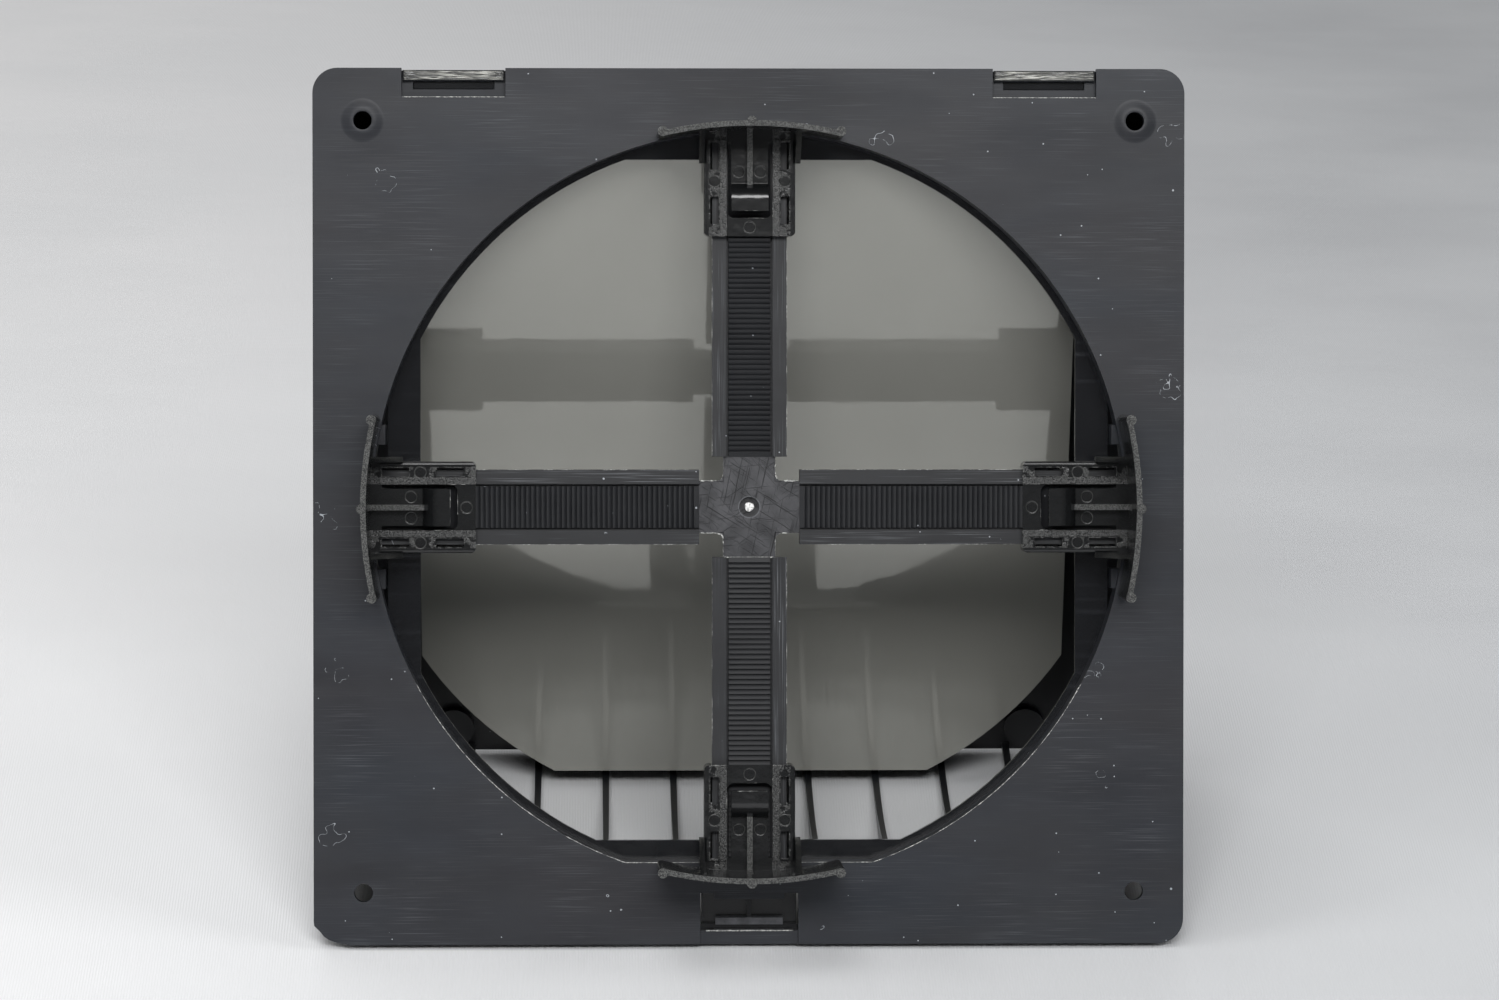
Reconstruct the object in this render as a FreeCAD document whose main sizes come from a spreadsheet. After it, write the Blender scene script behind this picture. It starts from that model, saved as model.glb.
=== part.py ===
"""Hooded vent grille for a wall: a square base plate with a round duct opening and a toothed cross,
four ratchet clips that slide along the cross and grip the duct, a valve frame with a hanging flap,
and a sloping hood with an open, finned underside. Millimetres; X across, Y out of the wall, Z up;
the origin is the centre of the duct opening on the back face of the base plate."""

import FreeCAD, Part
import math
import os
import re

import Sketcher
from FreeCAD import Placement, Rotation, Vector

doc = FreeCAD.newDocument("HoodedVentGrille")

# Driving dimensions: alias, value or formula in other aliases, and what it is
SIZES = [
    ("duct_radius", 75.7, "round duct opening in the base plate"),
    ("side_margin", 11.8, "duct opening to the side edges of the base plate"),
    ("plate_width", "=2 * (duct_radius + side_margin)", "base plate, across"),
    ("plate_thickness", 2.5, "base plate skin"),
    ("plate_corner", 5.0, "corner radius of the base plate"),
    ("plate_bevel", 1.0, "bevel round the front edge of the base plate"),
    ("flat_cut", 4.2, "lowest point of the round opening up to its flat"),
    ("duct_flat", "=duct_radius - flat_cut", "centre down to the flat of the duct opening"),
    ("collar_wall", 1.8, "wall of the collar round the duct opening"),
    ("collar_depth", 4.9, "collar, forward of the plate skin"),
    ("hole_inset", 10.0, "wall screws, in from the side edges"),
    ("hole_spacing", "=plate_width - 2 * hole_inset", "wall screws, hole to hole each way"),
    ("hole_radius", 1.85, "wall screw hole"),
    ("wear_reach", 6.7, "worn lower corner, along the lower edge"),
    ("arm_width", 15.0, "cross arm, across"),
    ("arm_depth", 4.0, "cross arm, front to back"),
    ("arm_start", 10.1, "centre to the inner end of the arm rails"),
    ("strip_width", 8.4, "toothed strip of an arm"),
    ("strip_gap", 0.4, "groove each side of the toothed strip"),
    ("strip_drop", 0.15, "tooth tips below the arm rails"),
    ("tooth_pitch", 1.02, "ratchet teeth, crest to crest"),
    ("tooth_height", 0.6, "ratchet teeth, root to crest"),
    ("tooth_stop", 2.3, "last ratchet tooth to the wall of the opening"),
    ("tooth_end", "=duct_radius - tooth_stop", "centre to the last ratchet tooth"),
    ("hub_neck", 10.5, "flat cross neck at the hub"),
    ("hub_drop", 0.9, "hub face below the arm rails"),
    ("gate_radius", 1.95, "moulding gate recess in the hub"),
    ("gate_depth", 0.7, "depth of the gate recess"),
    ("gate_stub", 0.93, "torn gate stub in the recess"),
    ("stub_drop", 0.1, "end of the stub below the hub face"),
    ("notch_inset", 28.2, "middle of a hook notch, in from the side edge"),
    ("notch_offset", "=plate_width / 2 - notch_inset", "hook notches, from the middle"),
    ("notch_width", 20.8, "hook notch, across"),
    ("notch_height", 5.8, "hook notch, down from the top edge"),
    ("notch_recess", 1.75, "hook notch, into the back of the plate"),
    ("shelf_height", 3.9, "shelf in a hook notch, up from its lower edge"),
    ("shelf_slot_width", 16.3, "slot in the shelf, across"),
    ("shelf_slot_low", 1.6, "slot in the shelf, up from the notch edge"),
    ("shelf_slot_height", 1.6, "slot in the shelf, height"),
    ("latch_width", 19.7, "latch notch in the lower edge"),
    ("latch_height", 10.5, "latch notch, up from the lower edge"),
    ("latch_recess", 1.7, "latch notch, into the back of the plate"),
    ("latch_bar_height", 2.7, "bar under the latch notch, up from the lower edge"),
    ("latch_bar_recess", 0.6, "that bar, below the back of the plate"),
    ("latch_slot_width", 2.8, "open slot at each side of the latch notch"),
    ("latch_slot_gap", 0.3, "that slot, short of the head of the notch"),
    ("window_width", 14.6, "window in the latch notch"),
    ("window_low", 2.9, "window, up from the lower edge"),
    ("window_height", 6.1, "window, height"),
    ("frame_inset", 2.9, "sides of the valve frame, inside the duct radius"),
    ("frame_width", "=2 * (duct_radius - frame_inset)", "valve frame, across"),
    ("frame_top_lap", 6.3, "top of the valve frame, beyond the duct radius"),
    ("frame_top", "=duct_radius + frame_top_lap", "centre to the top of the valve frame"),
    ("frame_foot_lap", 3.5, "bottom of the valve frame, below the flat of the opening"),
    ("frame_bottom", "=duct_flat + frame_foot_lap", "centre to the bottom of the valve frame"),
    ("frame_thickness", 1.6, "valve frame sheet"),
    ("frame_corner", 6.0, "corner radius of the valve frame"),
    ("seat_inset", 1.4, "valve frame opening, inside the duct radius"),
    ("seat_radius", "=duct_radius - seat_inset", "round part of the valve frame opening"),
    ("seat_border", 6.6, "side bars of the valve frame"),
    ("seat_side", "=frame_width / 2 - seat_border", "centre to the side chords of that opening"),
    ("seat_head", 12.0, "top bar of the valve frame"),
    ("seat_top", "=frame_top - seat_head", "centre to its top chord"),
    ("seat_foot", 7.4, "bottom bar of the valve frame"),
    ("seat_bottom", "=frame_bottom - seat_foot", "centre to its bottom chord"),
    ("catch_low", 12.5, "frame catches, from the middle line"),
    ("catch_height", 4.0, "frame catch, along the frame edge"),
    ("catch_lip", 0.9, "frame catch, over the frame edge"),
    ("catch_sheet", 1.1, "frame catch lip, thickness"),
    ("catch_root", 0.6, "frame catch, into the collar wall"),
    ("fit_gap", 0.3, "clearance between pieces that come apart"),
    ("join_depth", 0.4, "how far joined blocks of one piece run into each other"),
    ("hinge_inset", 7.0, "flap hinge, below the top of the valve frame"),
    ("hinge_height", "=frame_top - hinge_inset", "centre up to the flap hinge"),
    ("hinge_stand", 1.6, "flap hinge, forward of the valve frame"),
    ("pin_radius", 1.25, "flap hinge rod"),
    ("pin_play", 0.07, "clearance round the flap hinge rod"),
    ("ear_thickness", 2.4, "hinge ear on the valve frame"),
    ("ear_gap", 0.8, "flap side to the hinge ear"),
    ("ear_height", 7.0, "hinge ear, up and down"),
    ("ear_depth", 3.6, "hinge ear, forward of the valve frame"),
    ("flap_lap", 1.3, "closed flap over the sides of its seat"),
    ("flap_width", "=2 * (seat_side + flap_lap)", "flap, across"),
    ("flap_round_lap", 4.7, "closed flap over the round part of its seat"),
    ("flap_radius", "=seat_radius + flap_round_lap", "rounded lower corners of the flap"),
    ("flap_foot_lap", 0.7, "closed flap over the bottom of its seat"),
    ("flap_bottom", "=seat_bottom + flap_foot_lap", "centre down to the lower edge of the closed flap"),
    ("flap_thickness", 1.4, "flap sheet"),
    ("flap_tilt", 22.8, "flap, hanging open from its seat, in degrees"),
    ("flap_sweep", "=sqrt((hinge_height + flap_bottom) ^ 2 + hinge_stand ^ 2)", "hinge to flap foot"),
    ("hood_inset", 0.4, "hood outline inside the plate outline"),
    ("hood_wall", 1.9, "hood wall"),
    ("hood_corner", 5.0, "rounding of the hood side edges"),
    ("hood_brow", 14.0, "rounding of the top front edge of the hood"),
    ("flap_reach", "=(hinge_height + flap_bottom) * sin(flap_tilt)", "hanging flap, foot ahead of its hinge"),
    ("hood_room", 26.5, "front lower edge of the hood, ahead of that reach"),
    ("hood_depth", "=flap_reach + hood_room", "back face to the front lower edge of the hood"),
    ("hood_lift", 0.5, "underside of the hood above the foot of the plate, at the wall"),
    ("hood_slope", 22.6, "hood front from upright, and its underside from level, in degrees"),
    ("fin_pitch", 14.4, "outlet fins, middle to middle"),
    ("fin_back", 0.9, "outlet fin, thickness at the wall side"),
    ("fin_front", 1.5, "outlet fin, thickness at the front"),
    ("fin_clear", 1.9, "clearance between the flap sweep and the fins"),
    ("fin_land", 0.7393, "least height of the fins, where the flap sweeps nearest to the underside"),
    ("hinge_level", "=plate_thickness + collar_depth + frame_thickness + hinge_stand", "hinge, forward"),
    ("outlet_fall", "=(flap_sweep + fin_clear + fin_land) / cos(hood_slope)", "hinge down to the outlet"),
    ("wall_fall", "=outlet_fall + hood_lift + hinge_level * tan(hood_slope)", "hinge down to the foot"),
    ("plate_height", "=2 * (wall_fall - hinge_height)", "base plate, up"),
    ("frame_room", 1.2, "clearance between the valve frame and the fins"),
    ("sill_height", 2.2, "rear sill under the fins, height"),
    ("sill_depth", 2.4, "rear sill, front to back"),
    ("boss_radius", 4.4, "round boss inside the hood front"),
    ("boss_height", 1.6, "height of that boss"),
    ("boss_inset", 26.0, "round bosses, in from the side edges of the plate"),
    ("boss_offset", "=plate_width / 2 - boss_inset", "round bosses, from the middle"),
    ("boss_rise", 40.0, "round bosses, above the foot of the plate"),
    ("boss_level", "=plate_height / 2 - boss_rise", "centre down to the round bosses"),
    ("hook_width", 20.4, "hood hook, across"),
    ("hook_lip", 0.95, "hood hook lip, front to back"),
    ("hook_drop", 2.1, "hood hook lip, height"),
    ("hook_sheet", 1.2, "hood hook, thickness over the shelf"),
    ("peg_play", 0.12, "clearance round the hood peg in the slot of a shelf"),
    ("peg_sunk", 0.3, "end of that peg below the shelf"),
    ("peg_root", 1.2, "root of that peg, front to back"),
    ("tab_width", 13.6, "latch tab of the hood, across"),
    ("tab_height", 5.2, "latch tab, top above the plate edge"),
    ("tab_foot", 2.5, "latch tab, foot above the plate edge"),
    ("tab_thickness", 1.3, "latch tab, front to back"),
    ("screen_half", 9.6, "screen behind the latch notch, half width"),
    ("screen_depth", 1.2, "screen behind the latch notch, front to back"),
    ("screen_height", 11.2, "top of that screen above the plate edge"),
    ("nose_height", 1.4, "latch nose, height"),
    ("pad_proud", 1.4, "grip ribs, beyond the duct radius"),
    ("pad_radius", "=duct_radius + pad_proud", "centre to the grip ribs of a clip"),
    ("clip_reach", 22.2, "grip ribs in to the inner end of a clip"),
    ("clip_inner", "=pad_radius - clip_reach", "centre to the inner end of a clip"),
    ("clip_length", 19.2, "clip rails, along the arm"),
    ("clip_width", 18.3, "clip body, across"),
    ("clip_play", 0.2, "clearance between clip and arm"),
    ("clip_cover", 1.9, "clip body, behind the arm"),
    ("clip_corner", 1.0, "rounding of the inner corners of a clip"),
    ("clip_edge", 0.6, "rounding of the back edges of a clip"),
    ("clip_hook", 0.8, "clip hooks, thickness in front of the arm"),
    ("clip_grip", 1.7, "clip hooks, reach in front of the arm"),
    ("slot_width", 1.7, "slots in the clip rails"),
    ("slot_length", 5.6, "slots in the clip rails, along the arm"),
    ("slot_first", 2.35, "first slot, from the inner end"),
    ("slot_second", 13.3, "second slot, from the inner end"),
    ("slot_side", 1.25, "slots, in from the side of the clip"),
    ("pocket_depth", 0.3, "shallow pocket along the slots of a rail, depth"),
    ("pocket_rim", 0.3, "that pocket, beyond the sides of the slots"),
    ("pocket_end", 0.9, "that pocket, from the inner end of the clip"),
    ("mark_radius", 1.15, "round ejector marks"),
    ("mark_depth", 0.15, "depth of those marks"),
    ("mark_along", 11.0, "rail marks, from the inner end"),
    ("mark_side", 2.1, "rail marks, in from the side of the clip"),
    ("leaf_mark_along", 12.9, "tongue marks, from the inner end"),
    ("leaf_mark_side", 2.15, "tongue marks, from the middle line"),
    ("leaf_mark_depth", 0.12, "depth of the tongue marks"),
    ("tongue_width", 7.4, "spring tongue of a clip"),
    ("tongue_gap", 0.9, "slot each side of the tongue"),
    ("tongue_start", 5.5, "free end of the tongue, from the inner end"),
    ("tongue_sheet", 1.1, "spring tongue thickness"),
    ("tongue_lift", 0.15, "spring tongue, lifted off the channel"),
    ("strap_length", 3.6, "cross strap at the inner end"),
    ("strap_drop", 0.45, "cross strap below the clip rails"),
    ("window_corner", 1.6, "rounded corners of the clip window"),
    ("tab_rise", 3.3, "finger tab, rounding of its rise off the tongue"),
    ("tab_sheet", 1.1, "finger tab thickness"),
    ("tab_overhang", 0.5, "lip of the finger tab, past the free end of the tongue"),
    ("tab_run", 5.6, "finger tab, along the arm"),
    ("rib_width", 1.1, "centre rib of a clip"),
    ("rib_height", 2.6, "centre rib above the tongue"),
    ("rib_start", 1.1, "centre rib, into the rise of the finger tab"),
    ("floor_step", 0.7, "pad floor below the back of the clip"),
    ("pad_sheet", 1.1, "grip pad wall"),
    ("pad_depth", 19.0, "grip pad, back into the duct"),
    ("pad_half", 17.6, "grip pad, half width"),
    ("pad_rib", 1.0, "round grip ribs"),
    ("pad_relief", 0.15, "pad wall beyond the middle of the ribs"),
    ("gusset_sheet", 1.1, "gusset beside the clip body"),
    ("gusset_length", 7.1, "gusset, along the arm"),
    ("gusset_tip", 0.9, "gusset tip, behind the clip back"),
    ("gusset_reach", 13.7, "gusset, back along the pad"),
    ("top_seat", -0.55, "top clip, further in along its arm"),
    ("bottom_seat", -3.1, "bottom clip, further in along its arm"),
]

FIN_SIDE_COUNT = 5
# How far the block that hollows the hood runs past its open back and its open underside
PAST_BACK = 4.0
PAST_FOOT = 8.0
TINY = 1e-6

# Outline of the worn corner, across and up from the corner, as shares of its reach
WEAR_OUTLINE = [(0.0, 0.6), (0.19, 0.41), (0.3, 0.27), (0.44, 0.17), (0.7, 0.07), (1.0, 0.03)]

sheet = doc.addObject("Spreadsheet::Sheet", "Dims")
for row, (alias, value, note) in enumerate(SIZES, start=1):
    sheet.set(f"A{row}", alias)
    sheet.set(f"B{row}", str(value))
    sheet.set(f"C{row}", note)
    sheet.setAlias(f"B{row}", alias)
doc.recompute()

size = {alias: float(sheet.get(alias)) for alias, value, note in SIZES}
ALIAS = re.compile(r"[a-z]+(?:_[a-z]+)+")


def tied(text):
    """Writes an expression in sheet aliases out in full, for setExpression."""
    return ALIAS.sub(lambda found: "Dims." + found.group(), str(text))


def bind(item, **expressions):
    """Binds properties of an object to expressions; a double underscore stands for a dot."""
    for name, text in expressions.items():
        item.setExpression(name.replace("__", "."), tied(text))
    return item


def box(name, x, y, z):
    """A block between two expressions along each axis."""
    made = doc.addObject("Part::Box", name)
    bind(made, Length=f"({x[1]}) - ({x[0]})", Width=f"({y[1]}) - ({y[0]})", Height=f"({z[1]}) - ({z[0]})")
    return bind(made, Placement__Base__x=x[0], Placement__Base__y=y[0], Placement__Base__z=z[0])


def rod_y(name, radius, y, x="0", z="0"):
    """A cylinder along Y between two expressions."""
    made = doc.addObject("Part::Cylinder", name)
    made.Placement = Placement(Vector(), Rotation(Vector(1, 0, 0), -90))
    bind(made, Radius=radius, Height=f"({y[1]}) - ({y[0]})")
    return bind(made, Placement__Base__x=x, Placement__Base__y=y[0], Placement__Base__z=z)


def rod_x(name, radius, x, y="0", z="0"):
    """A cylinder along X between two expressions."""
    made = doc.addObject("Part::Cylinder", name)
    made.Placement = Placement(Vector(), Rotation(Vector(0, 1, 0), 90))
    bind(made, Radius=radius, Height=f"({x[1]}) - ({x[0]})")
    return bind(made, Placement__Base__x=x[0], Placement__Base__y=y, Placement__Base__z=z)


def rod_z(name, radius, z, x="0", y="0"):
    """A cylinder along Z between two expressions."""
    made = doc.addObject("Part::Cylinder", name)
    bind(made, Radius=radius, Height=f"({z[1]}) - ({z[0]})")
    return bind(made, Placement__Base__x=x, Placement__Base__y=y, Placement__Base__z=z[0])


def fuse(name, *items):
    made = doc.addObject("Part::MultiFuse", name)
    made.Shapes = list(items)
    made.Refine = True
    return made


def common(name, first, second):
    made = doc.addObject("Part::Common", name)
    made.Base = first
    made.Tool = second
    return made


def cut(name, base, *tools):
    made = doc.addObject("Part::Cut", name)
    made.Base = base
    made.Tool = tools[0] if len(tools) == 1 else fuse(name + "_tools", *tools)
    made.Refine = True
    return made


def plane(body, role):
    return next(item for item in body.Origin.OriginFeatures if item.Role == role)


def rounded_prism(name, width, height, corner, y, middle="0"):
    """A body: a rounded rectangle drawn upright in the XZ plane and padded forward from y[0] to y[1]."""
    body = doc.addObject("PartDesign::Body", name)
    sketch = body.newObject("Sketcher::SketchObject", name + "_outline")
    sketch.AttachmentSupport = (plane(body, "XZ_Plane"), [""])
    sketch.MapMode = "FlatFace"
    bind(sketch, AttachmentOffset__Base__z=f"-({y[0]})", AttachmentOffset__Base__y=middle)
    half_w, half_h, r = 50.0, 60.0, 5.0
    corners = [(half_w - r, half_h - r, 0), (r - half_w, half_h - r, 90)]
    corners += [(r - half_w, r - half_h, 180), (half_w - r, r - half_h, 270)]
    for x, z, start in corners:
        circle = Part.Circle(Vector(x, z, 0), Vector(0, 0, 1), r)
        sketch.addGeometry(Part.ArcOfCircle(circle, math.radians(start), math.radians(start + 90)))
    sides = [((half_w - r, half_h), (r - half_w, half_h)), ((-half_w, half_h - r), (-half_w, r - half_h))]
    sides += [((r - half_w, -half_h), (half_w - r, -half_h)), ((half_w, r - half_h), (half_w, half_h - r))]
    for start, end in sides:
        sketch.addGeometry(Part.LineSegment(Vector(*start, 0), Vector(*end, 0)))
    limits = []
    for index in range(4):
        limits.append(Sketcher.Constraint("Tangent", index, 2, index + 4, 1))
        limits.append(Sketcher.Constraint("Tangent", index + 4, 2, (index + 1) % 4, 1))
    limits += [Sketcher.Constraint("Equal", 0, index) for index in (1, 2, 3)]
    limits += [Sketcher.Constraint("Horizontal", 4), Sketcher.Constraint("Horizontal", 6)]
    limits += [Sketcher.Constraint("Vertical", 5), Sketcher.Constraint("Vertical", 7)]
    limits += [Sketcher.Constraint("Symmetric", 4, 1, 6, 1, -1, 1)]
    sketch.addConstraint(limits)
    for label, kind, value in (("corner", "Radius", r), ("across", "DistanceX", 2 * half_w)):
        if kind == "Radius":
            number = sketch.addConstraint(Sketcher.Constraint(kind, 0, value))
        else:
            number = sketch.addConstraint(Sketcher.Constraint(kind, 5, 1, 7, 1, value))
        sketch.renameConstraint(number, label)
    number = sketch.addConstraint(Sketcher.Constraint("DistanceY", 6, 1, 4, 1, 2 * half_h))
    sketch.renameConstraint(number, "upright")
    bind(sketch, Constraints__corner=corner, Constraints__across=width, Constraints__upright=height)
    pad = body.newObject("PartDesign::Pad", name + "_pad")
    pad.Profile = sketch
    pad.Reversed = True
    bind(pad, Length=f"({y[1]}) - ({y[0]})")
    sketch.Visibility = False
    return body


def profile_prism(name, points, x):
    """A block whose outline in the YZ plane is a polygon of numbers, drawn from x[0] to x[1]."""
    wire = Part.makePolygon([Vector(x[0], y, z) for y, z in points + points[:1]])
    made = doc.addObject("Part::Feature", name)
    made.Shape = Part.Face(wire).extrude(Vector(x[1] - x[0], 0, 0))
    return made


# Levels that several pieces share, as expressions
FRAME_BACK = "plate_thickness + collar_depth"
FRAME_FRONT = f"{FRAME_BACK} + frame_thickness"
HINGE_Y = "hinge_level"
HOOD_BACK = "plate_thickness + fit_gap"
HOOD_TOP = "plate_height / 2 - hood_inset"
HOOD_HALF = "plate_width / 2 - hood_inset"
FOOT = "-(plate_height / 2)"
THROUGH_SKIN = ("-1", "plate_thickness + 1")


def mirrored(sign, inner, outer):
    """The span from inner to outer, or its mirror image, as a pair in rising order."""
    pair = (inner, outer) if sign > 0 else (outer, inner)
    return tuple(f"{sign} * ({text})" for text in pair)


def chorded_disc(name, radius, y, side, top, bottom):
    """A disc along Y with its sides, top and bottom cut straight."""
    disc = rod_y(name + "_disc", radius, y)
    block = box(name + "_block", (f"-({side})", side), y, (f"-({bottom})", top))
    return common(name, disc, block)


def tooth_strip(name):
    """One toothed strip along +X: sloping ratchet teeth, steep towards the duct wall."""
    crest = size["strip_drop"]
    root = crest + size["tooth_height"]
    pitch = size["tooth_pitch"]
    inner = size["arm_start"]
    count = int((size["tooth_end"] - inner) / pitch)
    points = [Vector(inner, size["arm_depth"] / 2, 0)]
    for index in range(count):
        start = inner + index * pitch
        points.append(Vector(start, root, 0))
        points.append(Vector(start + pitch, crest, 0))
    points.append(Vector(size["duct_radius"], crest, 0))
    points.append(Vector(size["duct_radius"], size["arm_depth"] / 2, 0))
    face = Part.Face(Part.makePolygon(points + points[:1]))
    half = size["strip_width"] / 2
    strip = doc.addObject("Part::Feature", name)
    face.translate(Vector(0, 0, -half))
    strip.Shape = face.extrude(Vector(0, 0, 2 * half))
    return strip


def cross_arm(name, turn, reach):
    """One arm of the cross along +X, with two rails and the toothed strip, turned about Y."""
    along = ("arm_start", reach)
    half = "arm_width / 2"
    strip = "strip_width / 2 + strip_gap"
    root = "strip_drop + tooth_height + strip_gap"
    web = box(name + "_web", along, (root, "arm_depth"), (f"-({half})", half))
    upper = box(name + "_upper", along, ("0", "arm_depth"), (strip, half))
    lower = box(name + "_lower", along, ("0", "arm_depth"), (f"-({half})", f"-({strip})"))
    arm = fuse(name, web, upper, lower, tooth_strip(name + "_teeth"))
    arm.Placement = Placement(Vector(), Rotation(Vector(0, 1, 0), turn))
    return arm


def worn_corner():
    """What is rubbed off the lower left corner of the plate, as a block to cut away."""
    side = -size["plate_width"] / 2
    foot = -size["plate_height"] / 2
    reach = size["wear_reach"]
    worn = [(side + reach * across, foot + reach * up) for across, up in WEAR_OUTLINE]
    beyond = [(side + reach, foot - 1), (side - 1, foot - 1), (side - 1, foot + reach * WEAR_OUTLINE[0][1])]
    wire = Part.makePolygon([Vector(x, -1, z) for x, z in worn + beyond + worn[:1]])
    made = doc.addObject("Part::Feature", "worn_corner")
    made.Shape = Part.Face(wire).extrude(Vector(0, size["plate_thickness"] + 2, 0))
    return made


def bevelled_skin():
    """The flat plate with a bevel round its front edge."""
    depth = ("0", "plate_thickness")
    skin = rounded_prism("plate_skin", "plate_width", "plate_height", "plate_corner", depth)
    doc.recompute()
    bevel = doc.addObject("Part::Chamfer", "plate_bevelled")
    bevel.Base = skin
    edges = []
    for index, edge in enumerate(skin.Shape.Edges, start=1):
        if all(abs(vertex.Point.y - size["plate_thickness"]) < TINY for vertex in edge.Vertexes):
            edges.append((index, size["plate_bevel"], size["plate_bevel"]))
    bevel.Edges = edges
    return bevel


def screw_cuts():
    """Four holes for the wall screws."""
    cuts = []
    for corner, (sx, sz) in enumerate(((-1, -1), (1, -1), (-1, 1), (1, 1)), start=1):
        spot = (f"{sx} * hole_spacing / 2", f"{sz} * hole_spacing / 2")
        cuts.append(rod_y(f"screw_hole_{corner}", "hole_radius", THROUGH_SKIN, *spot))
    return cuts


def notch_cuts():
    """The two hook notches in the top edge, with their slotted shelves, and the latch notch below."""
    cuts = []
    low = "plate_height / 2 - notch_height"
    top = "plate_height / 2 + 1"
    slot_low = f"{low} + shelf_slot_low"
    for side, sign in (("left", -1), ("right", 1)):
        middle = f"{sign} * notch_offset"
        across = (f"{middle} - notch_width / 2", f"{middle} + notch_width / 2")
        slot = (f"{middle} - shelf_slot_width / 2", f"{middle} + shelf_slot_width / 2")
        cuts.append(box(f"notch_{side}_recess", across, ("-1", "notch_recess"), (low, top)))
        cuts.append(box(f"notch_{side}_gap", across, THROUGH_SKIN, (f"{low} + shelf_height", top)))
        rise = (slot_low, f"{slot_low} + shelf_slot_height")
        cuts.append(box(f"notch_{side}_slot", slot, THROUGH_SKIN, rise))
    latch = ("-latch_width / 2", "latch_width / 2")
    pane = ("-window_width / 2", "window_width / 2")
    low = f"{FOOT} + window_low"
    head = f"{FOOT} + latch_height"
    bar = f"{FOOT} + latch_bar_height"
    cuts.append(box("latch_bar_cut", latch, ("-1", "latch_bar_recess"), (f"{FOOT} - 1", f"{bar} + 0.1")))
    cuts.append(box("latch_recess_cut", latch, ("-1", "latch_recess"), (bar, head)))
    cuts.append(box("latch_window_cut", pane, THROUGH_SKIN, (low, f"{low} + window_height")))
    for side, sign in (("left", -1), ("right", 1)):
        span = mirrored(sign, "latch_width / 2 - latch_slot_width", "latch_width / 2")
        cuts.append(box(f"latch_slot_{side}", span, THROUGH_SKIN, (bar, f"{head} - latch_slot_gap")))
    return cuts


def hub():
    """The flat cross in the middle, with the gate recess and its torn stub."""
    across = ("-(arm_start + 0.1)", "arm_start + 0.1")
    neck = ("-hub_neck / 2", "hub_neck / 2")
    depth = ("hub_drop", "arm_depth")
    cross = fuse("hub_cross", box("hub_level", across, depth, neck), box("hub_upright", neck, depth, across))
    gate = rod_y("gate_recess", "gate_radius", ("0", "hub_drop + gate_depth"))
    stub = rod_y("gate_stub_pin", "gate_stub", ("hub_drop + stub_drop", "arm_depth - join_depth"))
    return fuse("hub", cut("hub_gated", cross, gate), stub)


def frame_catches():
    """Four catches on the collar that hold the valve frame by its side edges."""
    lip_back = f"{FRAME_FRONT} + fit_gap / 2"
    lip_front = f"{lip_back} + catch_sheet"
    outer = "sqrt(duct_radius ^ 2 - catch_low ^ 2) + catch_root"
    catches = []
    for side, sign in (("left", -1), ("right", 1)):
        post_span = mirrored(sign, "frame_width / 2 + fit_gap", outer)
        lip_span = mirrored(sign, "frame_width / 2 - catch_lip", outer)
        for level, up in (("low", -1), ("high", 1)):
            name = f"catch_{side}_{level}"
            rise = mirrored(up, "catch_low", "catch_low + catch_height")
            post = box(name + "_post", post_span, ("plate_thickness", lip_front), rise)
            lip = box(name + "_lip", lip_span, (lip_back, lip_front), rise)
            catches.append(fuse(name, post, lip))
    return catches


def base_plate():
    outer = "duct_radius + collar_wall"
    beyond = "duct_radius + collar_wall + 1"
    depth = ("plate_thickness - join_depth", FRAME_BACK)
    ring = chorded_disc("collar_ring", outer, depth, beyond, beyond, "duct_flat + collar_wall")
    through = ("-1", f"{FRAME_BACK} + 1")
    opening = chorded_disc("duct_hole", "duct_radius", through, beyond, beyond, "duct_flat")
    cuts = [opening, *screw_cuts(), *notch_cuts(), worn_corner()]
    shell = cut("plate_shell", fuse("plate_ringed", bevelled_skin(), ring), *cuts)
    side_reach = "sqrt(duct_radius ^ 2 - (arm_width / 2) ^ 2) + collar_wall / 2"
    down_reach = "duct_flat + collar_wall / 2"
    arms = [
        cross_arm("arm_right", 0, side_reach),
        cross_arm("arm_bottom", 90, down_reach),
        cross_arm("arm_left", 180, side_reach),
        cross_arm("arm_top", 270, side_reach),
    ]
    return fuse("base_plate_whole", shell, hub(), *arms, *frame_catches())


def valve_frame():
    height = "frame_top + frame_bottom"
    middle = "(frame_top - frame_bottom) / 2"
    depth = (FRAME_BACK, FRAME_FRONT)
    panel = rounded_prism("frame_panel", "frame_width", height, "frame_corner", depth, middle)
    through = (f"{FRAME_BACK} - 1", f"{FRAME_FRONT} + 1")
    seat = chorded_disc("seat_hole", "seat_radius", through, "seat_side", "seat_top", "seat_bottom")
    near = "flap_width / 2 + ear_gap"
    ear_depth = (f"{FRAME_FRONT} - join_depth", f"{FRAME_FRONT} + ear_depth")
    rise = ("hinge_height - ear_height / 2", "hinge_height + ear_height / 2")
    ears = []
    for side, sign in (("left", -1), ("right", 1)):
        span = mirrored(sign, near, f"{near} + ear_thickness")
        ears.append(box(f"hinge_ear_{side}", span, ear_depth, rise))
    along = ("-frame_width", "frame_width")
    bore = rod_x("hinge_bore", "pin_radius + pin_play", along, HINGE_Y, "hinge_height")
    return cut("valve_frame_whole", fuse("frame_eared", cut("frame_holed", panel, seat), *ears), bore)


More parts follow.
